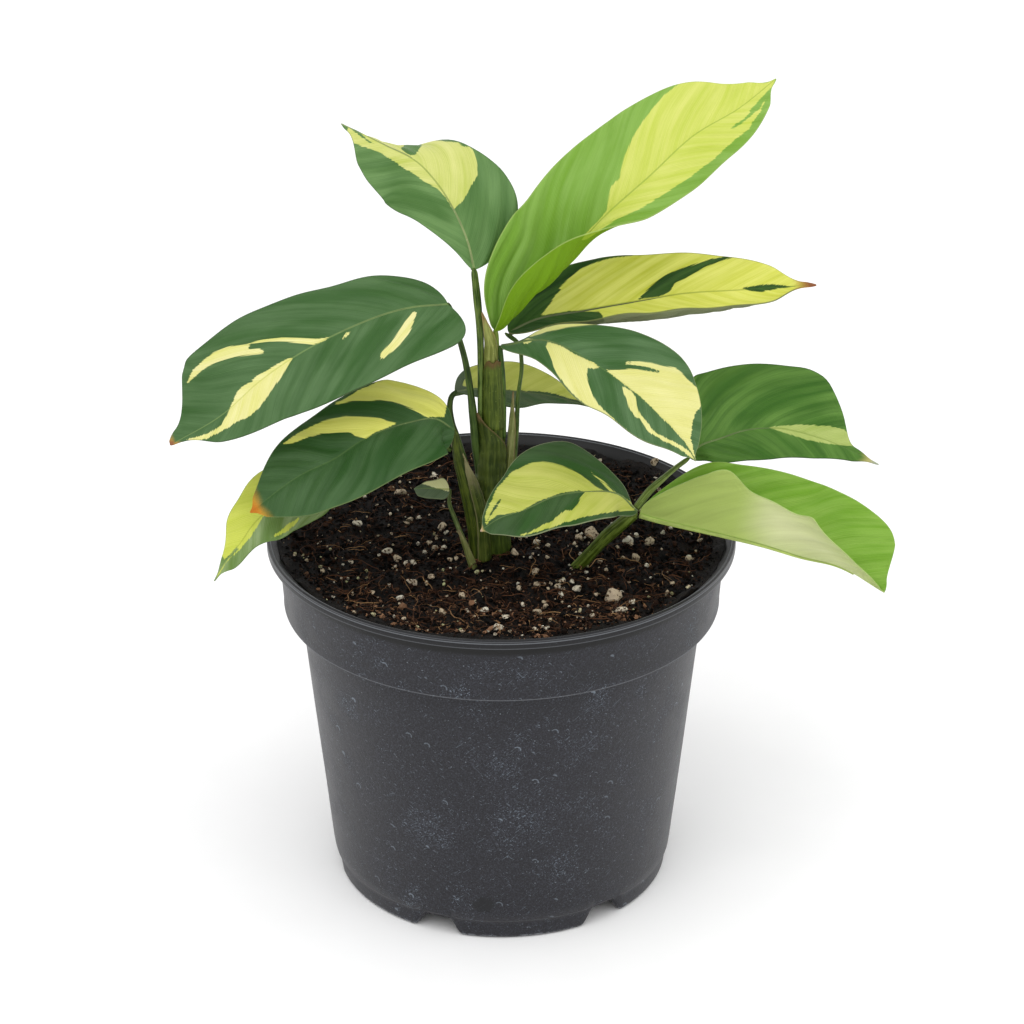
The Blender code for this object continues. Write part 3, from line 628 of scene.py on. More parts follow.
def even(values, at):
    """Value that passes evenly spaced stops smoothly."""
    values = np.array(values, float)
    if len(values) == 1:
        return np.repeat(values, len(at), axis=0)
    flat = values.reshape(len(values), -1)
    found = through(np.linspace(0.0, 1.0, len(values)), flat, at)
    return found.reshape((len(at), *values.shape[1:]))


def smooth_step(low, high, value):
    """0 below low, 1 above high, smooth between."""
    share = np.clip((value - low) / (high - low), 0, 1)
    return share * share * (3 - 2 * share)


def heading(places, at, step):
    """Direction of the curve through places, read over a step to both sides."""
    return unit(curve_at(places, np.clip(at + step, 0, 1)) - curve_at(places, np.clip(at - step, 0, 1)))


def leaf_points(leaf, at, across):
    """Points of a blade at shares of its length, at across from -1 (left edge) to 1 (right edge)."""
    place = curve_at(leaf.midrib, at)
    tangent = heading(leaf.midrib, at, 0.02)
    side = unit(np.cross(tangent, even(unit(np.array(leaf.face, float)), at)))
    normal = np.cross(side, tangent)
    half = 0 if across < 0 else 1
    rounding = 2 * np.sqrt(np.clip(at * (1 - at), 0, 1))
    least = NECK_HALF_WIDTH + (TIP_HALF_WIDTH - NECK_HALF_WIDTH) * at
    drawn = 1 - 0.6 * smooth_step(1 - 1.6 * leaf.drip, 1 - 0.4 * leaf.drip, at)
    width = np.maximum(even(leaf.width[half], at) * rounding * drawn, least)
    rise = np.radians(even(leaf.rise[half], at))
    curl = np.radians(even(leaf.curl[half], at)) + 1e-6
    turned = rise + curl * abs(across)
    out = width / curl * (np.sin(turned) - np.sin(rise)) * math.copysign(1, across)
    up = width / curl * (np.cos(rise) - np.cos(turned))
    back = leaf.lobe[half] * abs(across) * 2 * rounding * (1 - at) ** 6
    return place + out[:, None] * side + up[:, None] * normal - back[:, None] * tangent


def seen_at(points):
    """Pixels of the photograph at which points are seen."""
    away = points - VIEW_EYE
    depth = away @ VIEW_FORWARD
    middle = FRAME_PIXELS / 2
    return np.stack([middle + FOCAL_PIXELS * away[..., 0] / depth,
                     middle - FOCAL_PIXELS * (away @ VIEW_UP) / depth], axis=-1)


def on_level(pixel_x, pixel_y, height):
    """Place at a height that a pixel of the photograph shows."""
    middle = FRAME_PIXELS / 2
    ray = VIEW_FORWARD - (pixel_y - middle) / FOCAL_PIXELS * VIEW_UP
    ray = ray + np.array([(pixel_x - middle) / FOCAL_PIXELS, 0.0, 0.0])
    return VIEW_EYE + ray * (height - VIEW_EYE[2]) / ray[2]


def on_pot(pixel_x, pixel_y):
    """Place on the front of the pot's wall that a pixel of the photograph shows."""
    near = on_level(pixel_x, pixel_y, POT_HEIGHT)
    far = on_level(pixel_x, pixel_y, 0.0)
    shares = np.linspace(0, 1, 400)[:, None]
    places = near * (1 - shares) + far * shares
    radius = np.interp(places[:, 2], (0, COLLAR_FOOT - 1, COLLAR_FOOT, POT_HEIGHT),
                       (BODY_FOOT_RADIUS - 1, BODY_TOP_RADIUS, COLLAR_FOOT_RADIUS, COLLAR_TOP_RADIUS))
    inside = np.hypot(places[:, 0], places[:, 1]) < radius
    return places[np.argmax(inside)]


def depth_inside(outline, spots):
    """How far inside an outline the spots are, in pixels, negative outside."""
    corners = np.array(outline, float)
    run = np.roll(corners, -1, axis=0) - corners
    away = spots[:, None] - corners
    share = np.clip((away * run).sum(-1) / (run**2).sum(-1), 0, 1)
    gap = np.linalg.norm(away - share[..., None] * run, axis=-1).min(1)
    above = away[..., 1] < 0
    next_above = (away - run)[..., 1] < 0
    run_y = np.where(run[:, 1] == 0, 1e-9, run[:, 1])
    left_of = away[..., 0] < run[:, 0] * away[..., 1] / run_y
    inside = ((above != next_above) & left_of).sum(1) % 2 == 1
    return np.where(inside, gap, -gap)


def lime_depth(marks, spots):
    """How far the spots are inside the lime, in millimetres, negative in the green."""
    depth = np.full(len(spots), NO_OUTLINE if marks.base_lime else -NO_OUTLINE)
    for outline in marks.lime:
        depth = np.maximum(depth, depth_inside(outline, spots))
    for outline in marks.green:
        depth = np.minimum(depth, -depth_inside(outline, spots))
    for outline in marks.late_lime:
        depth = np.maximum(depth, depth_inside(outline, spots))
    return depth * PIXEL


# Pieces

POT_NODE_LOW, POT_NODE_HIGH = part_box("pot")
AXIS = np.array([(POT_NODE_LOW.x + POT_NODE_HIGH.x) / 2, (POT_NODE_LOW.y + POT_NODE_HIGH.y) / 2, 0.0])


def grid_faces(rows, columns, wrap=False):
    """Corner numbers of the four-sided faces between rows of points."""
    row = np.arange(rows - 1)[:, None] * columns
    first = np.arange(columns if wrap else columns - 1)[None, :]
    after = (first + 1) % columns
    faces = np.stack([row + first, row + after, row + columns + after, row + columns + first], axis=-1)
    return faces.reshape(-1, 4)


def spread(*parts):
    """Numbers side by side for each point of a grid."""
    return np.stack(np.broadcast_arrays(*parts), axis=-1)


def tube_faces(rows, columns):
    """Corner numbers of the faces of a tube of rings, closed at both ends."""
    ring = np.arange(columns)
    return [*grid_faces(rows, columns, wrap=True), ring[::-1], ring + (rows - 1) * columns]


def turned_faces(rows, columns):
    """Corner numbers of the faces of a body turned from an outline that starts inside it."""
    return [face[::-1] for face in tube_faces(rows, columns)]


def mesh_of(name, points, faces, smooth=True):
    """Mesh from points in millimetres about the pot's axis and lists of corner numbers."""
    mesh = bpy.data.meshes.new(name)
    places = np.reshape(points, (-1, 3)) * MM + AXIS
    mesh.from_pydata(places, [], [list(map(int, face)) for face in faces])
    mesh.update()
    if smooth:
        mesh.shade_smooth()
    return mesh


def give(mesh, name, values):
    """Keep a number or a vector for each point of a mesh."""
    values = np.asarray(values, np.float32)
    vector = values.ndim > 1
    made = mesh.attributes.new(name, "FLOAT_VECTOR" if vector else "FLOAT", "POINT")
    made.data.foreach_set("vector" if vector else "value", values.ravel())


def add_object(name, data):
    """Object in the scene."""
    made = bpy.data.objects.new(name, data)
    bpy.context.scene.collection.objects.link(made)
    return made


def thicken(piece, thickness, offset, lower_material=0):
    """Give a sheet its thickness in millimetres, with its lower side in another of its materials."""
    solid = piece.modifiers.new("thickness", "SOLIDIFY")
    solid.thickness = thickness * MM
    solid.offset = offset
    solid.material_offset = lower_material
    solid.material_offset_rim = lower_material


def place_piece(name, mesh, materials, nodes=()):
    """Object on the root body, with its materials, standing for CAD nodes."""
    piece = add_object(name, mesh)
    for material in materials:
        mesh.materials.append(material)
    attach(piece, "root")
    if nodes:
        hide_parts(*nodes)
    return piece


# Materials

def linear(colour, kept):
    """A share of a colour from 0 to 255, as the shader takes it."""
    share = np.array(colour, float) / 255
    low = share / 12.92
    high = ((share + 0.055) / 1.055) ** 2.4
    return (*(np.where(share <= 0.04045, low, high) * kept), 1.0)


def shaded(colour, share, lift=0):
    """A colour made darker or lighter."""
    return tuple(min(255, lift + share * part) for part in colour)


class Signal:
    """A number, vector or colour that a material's nodes pass on, summed with the usual signs."""

    def __init__(self, paint, socket):
        self.paint = paint
        self.socket = socket

    def __add__(self, other):
        return self.paint.maths("ADD", self, other)

    def __sub__(self, other):
        return self.paint.maths("SUBTRACT", self, other)

    def __rsub__(self, other):
        return self.paint.maths("SUBTRACT", other, self)

    def __mul__(self, other):
        return self.paint.maths("MULTIPLY", self, other)

    def __abs__(self):
        return self.paint.maths("ABSOLUTE", self)

    def above(self, least):
        """1 above a number and 0 below it."""
        return self.paint.maths("GREATER_THAN", self, least)

    def or_more(self, other):
        """The greater of two numbers."""
        return self.paint.maths("MAXIMUM", self, other)

    def between(self, low, high):
        """0 below low, 1 above high, smooth between."""
        inputs = {"Value": self, "From Min": low, "From Max": high}
        return self.paint.result("ShaderNodeMapRange", inputs, interpolation_type="SMOOTHSTEP")

    def ranged(self, low, high):
        """A number from 0 to 1 as one from low to high."""
        return self.paint.result("ShaderNodeMapRange", {"Value": self, "To Min": low, "To Max": high})

    def near(self, middle, core, reach):
        """1 within core of a middle value, 0 beyond reach."""
        return 1.0 - abs(self - middle).between(core, reach)

    def split(self):
        """The three numbers of a vector."""
        made = self.paint.make("ShaderNodeSeparateXYZ", {0: self})
        return tuple(Signal(self.paint, socket) for socket in made.outputs)


class Paint:
    """One Principled material and short calls for its nodes."""

    def __init__(self, name, colour_share=COLOUR_SHARE):
        self.colour_share = colour_share
        self.material = bpy.data.materials.new(name)
        self.material.use_nodes = True
        self.tree = self.material.node_tree
        self.shader = self.tree.nodes["Principled BSDF"]

    def put(self, socket, value):
        """Link a signal to an input, or set the input's value."""
        if isinstance(value, Signal):
            self.tree.links.new(value.socket, socket)
        else:
            socket.default_value = value

    def make(self, kind, inputs, **settings):
        """Node with settings, and links or values for its inputs."""
        made = self.tree.nodes.new(kind)
        for key, value in settings.items():
            setattr(made, key, value)
        for key, value in inputs.items():
            self.put(made.inputs[key], value)
        return made

    def result(self, kind, inputs, output=0, **settings):
        """What one output of a new node gives."""
        return Signal(self, self.make(kind, inputs, **settings).outputs[output])

    def maths(self, operation, first, second=0.0):
        """Result of a sum of two numbers."""
        return self.result("ShaderNodeMath", {0: first, 1: second}, operation=operation)

    def vector_maths(self, operation, inputs, output="Vector"):
        """Result of a sum with vectors."""
        return self.result("ShaderNodeVectorMath", inputs, output, operation=operation)

    def kept(self, name, output="Vector"):
        """Vector that the mesh keeps for each point, or with the output Fac a number."""
        return self.result("ShaderNodeAttribute", {}, output, attribute_name=name)

    def join(self, first, second, third=0.0):
        """Vector of three numbers."""
        return self.result("ShaderNodeCombineXYZ", {0: first, 1: second, 2: third})

    def noise(self, vector, scale, detail=2.0, roughness=0.5):
        """Cloudy pattern from 0 to 1."""
        inputs = {"Vector": vector, "Scale": scale, "Detail": detail, "Roughness": roughness}
        return self.result("ShaderNodeTexNoise", inputs)

    def cells(self, vector, scale):
        """Voronoi cells: distance from the middle of the nearest one, its own random number, its middle."""
        made = self.make("ShaderNodeTexVoronoi", {"Vector": vector, "Scale": scale})
        outputs = (made.outputs[key] for key in ("Distance", "Color", "Position"))
        distance, colour, middle = (Signal(self, socket) for socket in outputs)
        return distance, colour.split()[0], middle

    def mix(self, share, first, second):
        """Colour between two colours."""
        inputs = {0: share}
        for key, colour in ((6, first), (7, second)):
            inputs[key] = linear(colour, self.colour_share) if isinstance(colour, tuple) else colour
        return self.result("ShaderNodeMix", inputs, 2, data_type="RGBA")

    def dim(self, colour, share):
        """Colour or vector times a number."""
        return self.vector_maths("SCALE", {0: colour, "Scale": share})

    def away_from(self, place, point):
        """Distance of a place from a point."""
        return self.vector_maths("DISTANCE", {0: place, 1: tuple(point)}, "Value")

    def finish(self, colour, roughness, height, depth, specular=0.5, sheen=0.0):
        """Colour, roughness and bump into the shader. Depth is the bump's full height in millimetres."""
        self.put(self.shader.inputs["Base Color"], colour)
        self.put(self.shader.inputs["Roughness"], roughness)
        self.shader.inputs["Specular IOR Level"].default_value = specular
        self.shader.inputs["Sheen Weight"].default_value = sheen
        bump = self.result("ShaderNodeBump", {"Height": height, "Distance": depth * MM, "Strength": 1.0})
        self.put(self.shader.inputs["Normal"], bump)
        return self.material


def leaf_paint(name, look, lower):
    """Blade: green and lime with streaks and fine veins along the vein lines, midrib, edge and dry tip."""
    paint = Paint(name)
    along, aside, share = paint.kept("leaf_place").split()
    lime, edge, tip = paint.kept("leaf_marks").split()
    outwards = abs(aside)
    half = paint.maths("SIGN", aside) * 11.0
    fine = paint.noise(paint.join(along * 1.5, outwards * 0.06, half), 1.0, 3.0)
    broad = paint.noise(paint.join(along * 0.24, outwards * 0.03, half), 1.0, 1.0)
    cloud = paint.noise(paint.join(along, aside), 0.11)
    grain = paint.noise(paint.join(along, aside), 2.6)
    streak = broad * 0.62 + fine * 0.38

    jag = (fine - 0.5) * 1.3 + (broad - 0.5) * 0.9
    lime_share = (lime + jag).between(-look.soft, look.soft)
    tone = (streak * 0.65 + cloud * 0.35).between(0.24, 0.76)
    if lower:
        green = paint.mix(tone, shaded(look.under[0], 0.9), look.under[0])
        pale = paint.mix(tone, shaded(look.under[1], 0.94), look.under[1])
    else:
        patches = paint.noise(paint.join(along * 0.06, outwards * 0.04, half), 1.0)
        green = paint.mix(tone, *look.green)
        green = paint.mix(patches.between(0.5, 0.68) * 0.6, green, look.vivid)
        pale = paint.mix(tone, *look.lime)
    colour = paint.mix(lime_share, green, pale)

    vein_gap = 0.62 if lower else 0.95
    veins = paint.maths("SINE", along * (2 * math.pi / vein_gap) + fine * 4.0).between(0.3, 1.0)
    colour = paint.dim(colour, veins.ranged(1.0, 1.07 if lower else 0.965))
    colour = paint.dim(colour, grain.ranged(0.955, 1.045))

    rib = 1.0 - (outwards - share.ranged(0.38, 0.05)).between(0.0, 0.2)
    colour = paint.mix(rib * 0.55, colour, paint.mix(lime_share, *look.rib))
    rim = 1.0 - edge.between(0.08, 0.36)
    colour = paint.mix(rim * 0.6, colour, look.margin)
    if look.brown:
        ragged = tip + (grain - 0.5) * 2.5
        halo = 1.0 - (ragged + edge * 0.7).between(look.brown * 0.7, look.brown * 2)
        yellow = tuple((dry + faded) / 2 for dry, faded in zip(look.dry, (214, 190, 70)))
        colour = paint.mix(halo, colour, yellow)
        colour = paint.mix(1.0 - ragged.between(look.brown * 0.3, look.brown), colour, look.dry)

    roughness = streak.ranged(0.5, 0.64) if lower else streak.ranged(0.36, 0.54)
    height = veins * (0.5 if lower else -0.35) + fine * 0.5 + grain * 0.25
    return paint.finish(colour, roughness, height, 0.12, specular=0.2)


def blade_relief(along, aside, distance, reach, size, phase):
    """Height of a blade's pleats, folds, wavy edge and midrib groove over its plain sheet."""
    outwards = np.abs(aside)
    inner = smooth_step(0.3, 4.0, outwards) * smooth_step(0.0, 2.5, reach - outwards)
    pleats = 0.06 * np.sin(along * 2 * math.pi / 3.3 + 1.5 * np.sin(along / 5.3 + phase))
    folds = 0.32 * np.sin(along * 2 * math.pi / 11.5 + phase + 0.9 * np.sin(along / 7.1))
    waves = 0.32 * np.sin(distance * 2 * math.pi / 21 + phase + np.sign(aside) * 0.8)
    margin = (outwards / np.maximum(reach, 1)) ** 3 * smooth_step(0, 8, distance)
    groove = -0.22 * np.exp(-((outwards / 0.75) ** 2)) * smooth_step(0, 4, distance)
    return (inner * (pleats + folds) + waves * margin) * size + groove


def build_blade(node, leaf):
    """A blade's fine sheet, with its place, markings and gentle folds, thickened."""
    look = LOOKS[node]
    length = run_along(curve_at(leaf.midrib, np.linspace(0, 1, 60)))[-1]
    half_rows = max(24, round(length / LEAF_CELL / 1.25))
    half_columns = max(14, round(max(*leaf.width[0], *leaf.width[1]) / LEAF_CELL / 1.15))
    at = (1 + np.sin(np.linspace(-1, 1, half_rows + 1) * math.pi / 2)) / 2
    across = np.linspace(-1, 1, 2 * half_columns + 1)
    sheet = np.stack([leaf_points(leaf, at, column) for column in across], axis=1)

    steps = np.linalg.norm(np.diff(sheet, axis=1), axis=2)
    right = np.cumsum(steps[:, half_columns:], axis=1)
    left = np.cumsum(steps[:, :half_columns][:, ::-1], axis=1)
    aside = np.hstack([-left[:, ::-1], np.zeros((len(at), 1)), right])
    reach = np.where(across < 0, left[:, -1:], right[:, -1:])
    distance = run_along(sheet[:, half_columns])[:, None]
    outwards = np.abs(aside)
    along = distance - look.lean * outwards - VEIN_BEND * outwards**2
    normal = unit(np.cross(np.gradient(sheet, axis=1), np.gradient(sheet, axis=0)))
    relief = blade_relief(along, aside, distance, reach, min(1.0, length / 70), len(node) * 1.7)
    sheet = sheet + normal * relief[..., None]

    lime = lime_depth(MARKS[node], seen_at(sheet.reshape(-1, 3))).reshape(aside.shape)
    from_tip = np.linalg.norm(sheet - leaf.midrib[-1], axis=-1)
    mesh = mesh_of(f"{node}_sheet", sheet, grid_faces(*aside.shape))
    give(mesh, "leaf_place", spread(along, aside, at[:, None]))
    give(mesh, "leaf_marks", spread(lime, np.maximum(reach - outwards, 0), from_tip))
    materials = [leaf_paint(f"{node}_upper", look, lower=False),
                 leaf_paint(f"{node}_lower", look, lower=True)]
    piece = place_piece(f"{node}_blade", mesh, materials, (node,))
    thicken(piece, BLADE_THICKNESS, 0.0, lower_material=1)


def stalk_paint(name, colours, dry=None, dry_length=0.0, specked=0.12):
    """Stem or sheath: lengthwise stripes from deep to pale, with specks and a dry end."""
    paint = Paint(name)
    place = paint.kept("stalk_place")
    first, second, along = place.split()
    stretched = paint.join(first, second, along * 0.045)
    stripes = paint.noise(stretched, 1.1, 3.0)
    thin = paint.noise(stretched, 4.5)
    cloud = paint.noise(place, 0.16)
    grain = paint.noise(place, 3.4)
    tone = (stripes * 0.5 + thin * 0.25 + cloud * 0.25).between(0.4, 0.6)
    colour = paint.dim(paint.mix(tone, *colours), grain.ranged(0.88, 1.12))
    gap, chosen, _ = paint.cells(place, 0.9)
    speck = (1.0 - gap.between(0.1, 0.22)) * chosen.above(1.0 - specked)
    colour = paint.mix(speck * 0.45, colour, shaded(colours[1], 1.1, lift=40))
    if dry:
        from_tip, edge, _ = paint.kept("stalk_ends").split()
        ragged = from_tip + (thin - 0.5) * dry_length
        withered = 1.0 - ragged.between(dry_length * 0.3, dry_length)
        withered = withered.or_more((1.0 - edge.between(0.15, 0.7)) * 0.6)
        colour = paint.mix(withered, colour, paint.mix(thin, shaded(dry, 0.72), shaded(dry, 1.18)))
    return paint.finish(colour, stripes.ranged(0.4, 0.6), thin * 0.7 + grain * 0.3, 0.22, specular=0.2)


def frames_along(route, at):
    """Points of a route and two directions square to it."""
    tangent = heading(route, at, 0.01)
    side = unit(np.cross(tangent, np.array([0.0, -1.0, 0.0])))
    return curve_at(route, at), side, np.cross(side, tangent)


def around(middle, side, front, across, ahead):
    """Points round a middle line, by how far they lie along two directions square to it."""
    return middle[:, None] + across[..., None] * side[:, None] + ahead[..., None] * front[:, None]


def tube_mesh(name, lines, size, angle, distance):
    """Closed tube round a middle line, with each point's place on it."""
    across = size * np.cos(angle)
    ahead = size * np.sin(angle)
    mesh = mesh_of(name, around(*lines, across, ahead), tube_faces(*across.shape))
    give(mesh, "stalk_place", spread(across, ahead, distance))
    return mesh


def build_stalk(node, stalk):
    """A ridged stem, planted in the soil or grown onto its neighbours at both ends."""
    route = np.array(stalk.route, float)
    radius = np.array(stalk.radius, float)
    if stalk.planted:
        route = np.vstack([route[0] - PLANTED_DEPTH * unit(route[1] - route[0]), route])
        radius = np.concatenate([[radius[0] * 1.05], radius])
    route[-1] += STALK_REACH * unit(route[-1] - route[-2])
    length = run_along(route)[-1]
    rows = max(16, round(length / STALK_CELL))
    at = np.linspace(0, 1, rows)
    angle = np.linspace(0, 2 * math.pi, 40 if radius.max() > 2 else 20, endpoint=False)
    distance = (at * length)[:, None]
    twist = angle + 0.25 * np.sin(at * 5)[:, None]
    ridge = 0.045 * np.cos(stalk.ridges * twist) + 0.03 * np.cos((2 * stalk.ridges + 1) * twist + 1)
    uneven = 0.03 * np.sin(distance / 3.7) + 0.02 * np.sin(distance / 1.9 + 2)
    closing = np.ones((rows, 1))
    closing[-3:, 0] = (0.93, 0.72, 0.35)
    size = even(radius, at)[:, None] * (1 + ridge + uneven) * closing
    mesh = tube_mesh(f"{node}_tube", frames_along(route, at), size, angle, distance)
    place_piece(f"{node}_stalk", mesh, [stalk_paint(f"{node}_skin", stalk.colours)], (node,))


def build_sheath(name, sheath, nodes=()):
    """A thin shell round part of a stem, with free edges and a drawn-out tip."""
    length = run_along(np.array(sheath.route, float))[-1]
    at = np.linspace(0, 1, max(20, round(length / SHEATH_CELL)))
    across = np.linspace(-1, 1, SHEATH_COLUMNS)
    distance = (at * length)[:, None]
    spread_angle = np.radians(np.maximum(even(sheath.spread, at), 3))[:, None]
    angle = np.radians(even(sheath.turn, at))[:, None] + spread_angle * across
    size = even(sheath.radius, at)[:, None] * (1 + 0.05 * across**2)
    size = size * (1 + 0.02 * np.sin(9 * angle) + 0.015 * np.sin(1.3 * distance))
    out = size * np.cos(angle)
    ahead = -size * np.sin(angle)
    points = around(*frames_along(sheath.route, at), out, ahead)
    points[..., 2] += 0.5 * np.sin(7 * across) * smooth_step(0.8, 1.0, at)[:, None]
    mesh = mesh_of(f"{name}_shell", points, grid_faces(*out.shape))
    give(mesh, "stalk_place", spread(out, ahead, distance))
    give(mesh, "stalk_ends", spread(length - distance, size * spread_angle * (1 - np.abs(across)), 0.0))
    paint = stalk_paint(f"{name}_skin", sheath.colours, sheath.dry, sheath.dry_length, specked=0.32)
    piece = place_piece(f"{name}_wrap", mesh, [paint], nodes)
    thicken(piece, SHEATH_THICKNESS, -1.0)


def build_rib(node, leaf):
    """The midrib that stands proud of a blade's lower side and runs back into its stalk."""
    at = np.linspace(0, RIB_REACH, RIB_ROWS)
    spine = curve_at(leaf.midrib, at)
    tangent = unit(np.gradient(spine, axis=0))
    side = unit(np.cross(tangent, even(unit(np.array(leaf.face, float)), at)))
    normal = np.cross(side, tangent)
    size = (0.85 * (1 - at) ** 0.8 + 0.16)[:, None]
    angle = np.linspace(0, 2 * math.pi, RIB_SIDES, endpoint=False)
    middle = spine - normal * (0.55 * size + 0.32)
    mesh = tube_mesh(f"{node}_rib_tube", (middle, side, normal), size, angle, run_along(spine)[:, None])
    under = LOOKS[node].under[0]
    place_piece(f"{node}_rib", mesh, [stalk_paint(f"{node}_rib_skin", (shaded(under, 0.8), under))])


# Pot

def arc(centre, radius, first, last, count):
    """Points of an arc in an outline, angles in degrees from the outward side."""
    turns = np.radians(np.linspace(first, last, count))
    return [(centre[0] + radius * math.cos(turn), centre[1] + radius * math.sin(turn)) for turn in turns]


def straight(first, last, count):
    """Points of a straight run in an outline, without its last point."""
    return [tuple(point) for point in np.linspace(first, last, count, endpoint=False)]


def pot_outline():
    """Radius and height pairs of the pot's wall, from the middle of its floor over the rim to its foot."""
    floor_top = FOOT_HEIGHT + BASE_THICKNESS
    inner_collar = COLLAR_FOOT + WALL
    bead = 0.6
    rim_inner = RIM_RADIUS - RIM_WIDTH
    return [
        *straight((0.5, floor_top), (FOOT_RADIUS - WALL, floor_top), 8),
        *straight((FOOT_RADIUS - WALL, floor_top), (BODY_FOOT_RADIUS - WALL, BODY_FOOT), 2),
        *straight((BODY_FOOT_RADIUS - WALL, BODY_FOOT), (BODY_TOP_RADIUS - WALL, inner_collar - 2), 12),
        *straight((BODY_TOP_RADIUS - WALL, inner_collar - 2), (COLLAR_FOOT_RADIUS - WALL, inner_collar), 3),
        *straight((COLLAR_FOOT_RADIUS - WALL, inner_collar), (rim_inner, POT_HEIGHT - 5), 8),
        (rim_inner + 0.3, POT_HEIGHT - 4.0),
        (rim_inner + 1.1, POT_HEIGHT - 2.9),
        (rim_inner + 2.4, POT_HEIGHT - 1.8),
        (rim_inner + 3.6, POT_HEIGHT - 0.75),
        (rim_inner + 3.9, POT_HEIGHT - 0.35),
        (rim_inner + 4.15, POT_HEIGHT - 0.4),
        *arc((RIM_RADIUS - bead, POT_HEIGHT - bead), bead, 110, 0, 7),
        (RIM_RADIUS - 0.15, POT_HEIGHT - 1.15),
        (RIM_RADIUS, POT_HEIGHT - 1.45),
        (RIM_RADIUS - 0.06, POT_HEIGHT - RIM_THICKNESS + 0.9),
        (RIM_RADIUS, POT_HEIGHT - RIM_THICKNESS + 0.5),
        (RIM_RADIUS - 0.03, POT_HEIGHT - RIM_THICKNESS + 0.15),
        (RIM_RADIUS - 0.4, POT_HEIGHT - RIM_THICKNESS),
        (COLLAR_TOP_RADIUS + 0.6, POT_HEIGHT - RIM_THICKNESS - 0.1),
        (COLLAR_TOP_RADIUS + 0.1, POT_HEIGHT - RIM_THICKNESS - 0.5),
        *straight((COLLAR_TOP_RADIUS - 0.05, POT_HEIGHT - RIM_THICKNESS - 2),
                  (COLLAR_FOOT_RADIUS, COLLAR_FOOT + 0.7), 10),
        (COLLAR_FOOT_RADIUS + 0.16, COLLAR_FOOT + 0.4),
        (COLLAR_FOOT_RADIUS + 0.12, COLLAR_FOOT + 0.14),
        (COLLAR_FOOT_RADIUS - 0.25, COLLAR_FOOT - 0.05),
        (BODY_TOP_RADIUS + 1.2, COLLAR_FOOT - 0.7),
        (BODY_TOP_RADIUS + 0.3, COLLAR_FOOT - 1.3),
        (BODY_TOP_RADIUS, COLLAR_FOOT - 2.4),
        *straight((BODY_TOP_RADIUS - 0.1, COLLAR_FOOT - 4), (BODY_FOOT_RADIUS - 0.15, BODY_FOOT - 1.0), 34),
        (BODY_FOOT_RADIUS - 0.3, BODY_FOOT - 1.6),
        (BODY_FOOT_RADIUS - 0.75, BODY_FOOT - 2.2),
        (FOOT_RADIUS + 0.65, FOOT_HEIGHT + 1.4),
        (FOOT_RADIUS + 0.5, FOOT_HEIGHT),
        (FOOT_RADIUS + 0.35, FOOT_HEIGHT * 0.7),
        *arc((FOOT_RADIUS - FOOT_ROUNDING, FOOT_ROUNDING), FOOT_ROUNDING, 0, -90, 7),
        (FOOT_RADIUS - FOOT_WALL, 0.3),
        (FOOT_RADIUS - FOOT_WALL, FOOT_HEIGHT * 0.5),
        (FOOT_RADIUS - FOOT_WALL, FOOT_HEIGHT),
        *straight((FOOT_RADIUS - FOOT_WALL - 1, FOOT_HEIGHT), (0.5, FOOT_HEIGHT), 10),
        (0.5, FOOT_HEIGHT),
    ]


def pot_wear(paint, place, cloud, mottle):
    """How worn the plastic is."""
    worn = cloud.between(0.48, 0.66) * 0.5
    for pixel_x, pixel_y, reach in SCUFFS:
        away = paint.away_from(place, on_pot(pixel_x, pixel_y))
        away = away + (cloud - 0.5) * (reach * 3.0) + (mottle - 0.5) * (reach * 1.2)
        worn = worn.or_more(1.0 - away.between(reach * 0.1, reach * 1.1))
    return worn * mottle.ranged(0.3, 1.3)


def pot_scratches(paint, colour, place, worn):
    """The plastic with flecks, fine lines both ways, crescents and dots."""
    x, y, z = place.split()
    fleck = paint.noise(place, 1.7, 3.0, 0.7) + worn * 0.1
    colour = paint.mix(fleck.between(0.645, 0.72) * 0.6, colour, (132, 146, 160))
    slant = x * 0.75 + z * 0.66
    upright = z * 0.75 + x * -0.66
    for first, second, least in ((slant, upright, 0.73), (upright, slant, 0.76)):
        stretched = paint.join(first * 0.22, second * 3.2, y * 0.3)
        line = paint.noise(stretched, 1.0, 1.0) + worn * 0.07
        colour = paint.mix(line.between(least, least + 0.05) * 0.4, colour, (132, 146, 158))
    for scale, size, least in ((0.16, 0.2, 0.85), (0.3, 0.17, 0.75), (0.45, 0.2, 0.8)):
        gap, chosen, middle = paint.cells(place, scale)
        aside, _, above = paint.vector_maths("SUBTRACT", {0: place, 1: middle}).split()
        crescent = gap.near(size, 0.012, 0.05) * (above + aside * 0.6).between(0.1, 0.5)
        crescent = crescent * (chosen + worn * 0.3).above(least)
        colour = paint.mix(crescent * worn.ranged(0.35, 0.75), colour, (138, 150, 162))
    for scale, size, least in ((0.42, 0.12, 0.8), (0.9, 0.16, 0.85)):
        gap, chosen, _ = paint.cells(place, scale)
        dot = (1.0 - gap.between(size * 0.5, size)) * chosen.above(least)
        colour = paint.mix(dot * 0.5, colour, (150, 160, 170))
    return colour


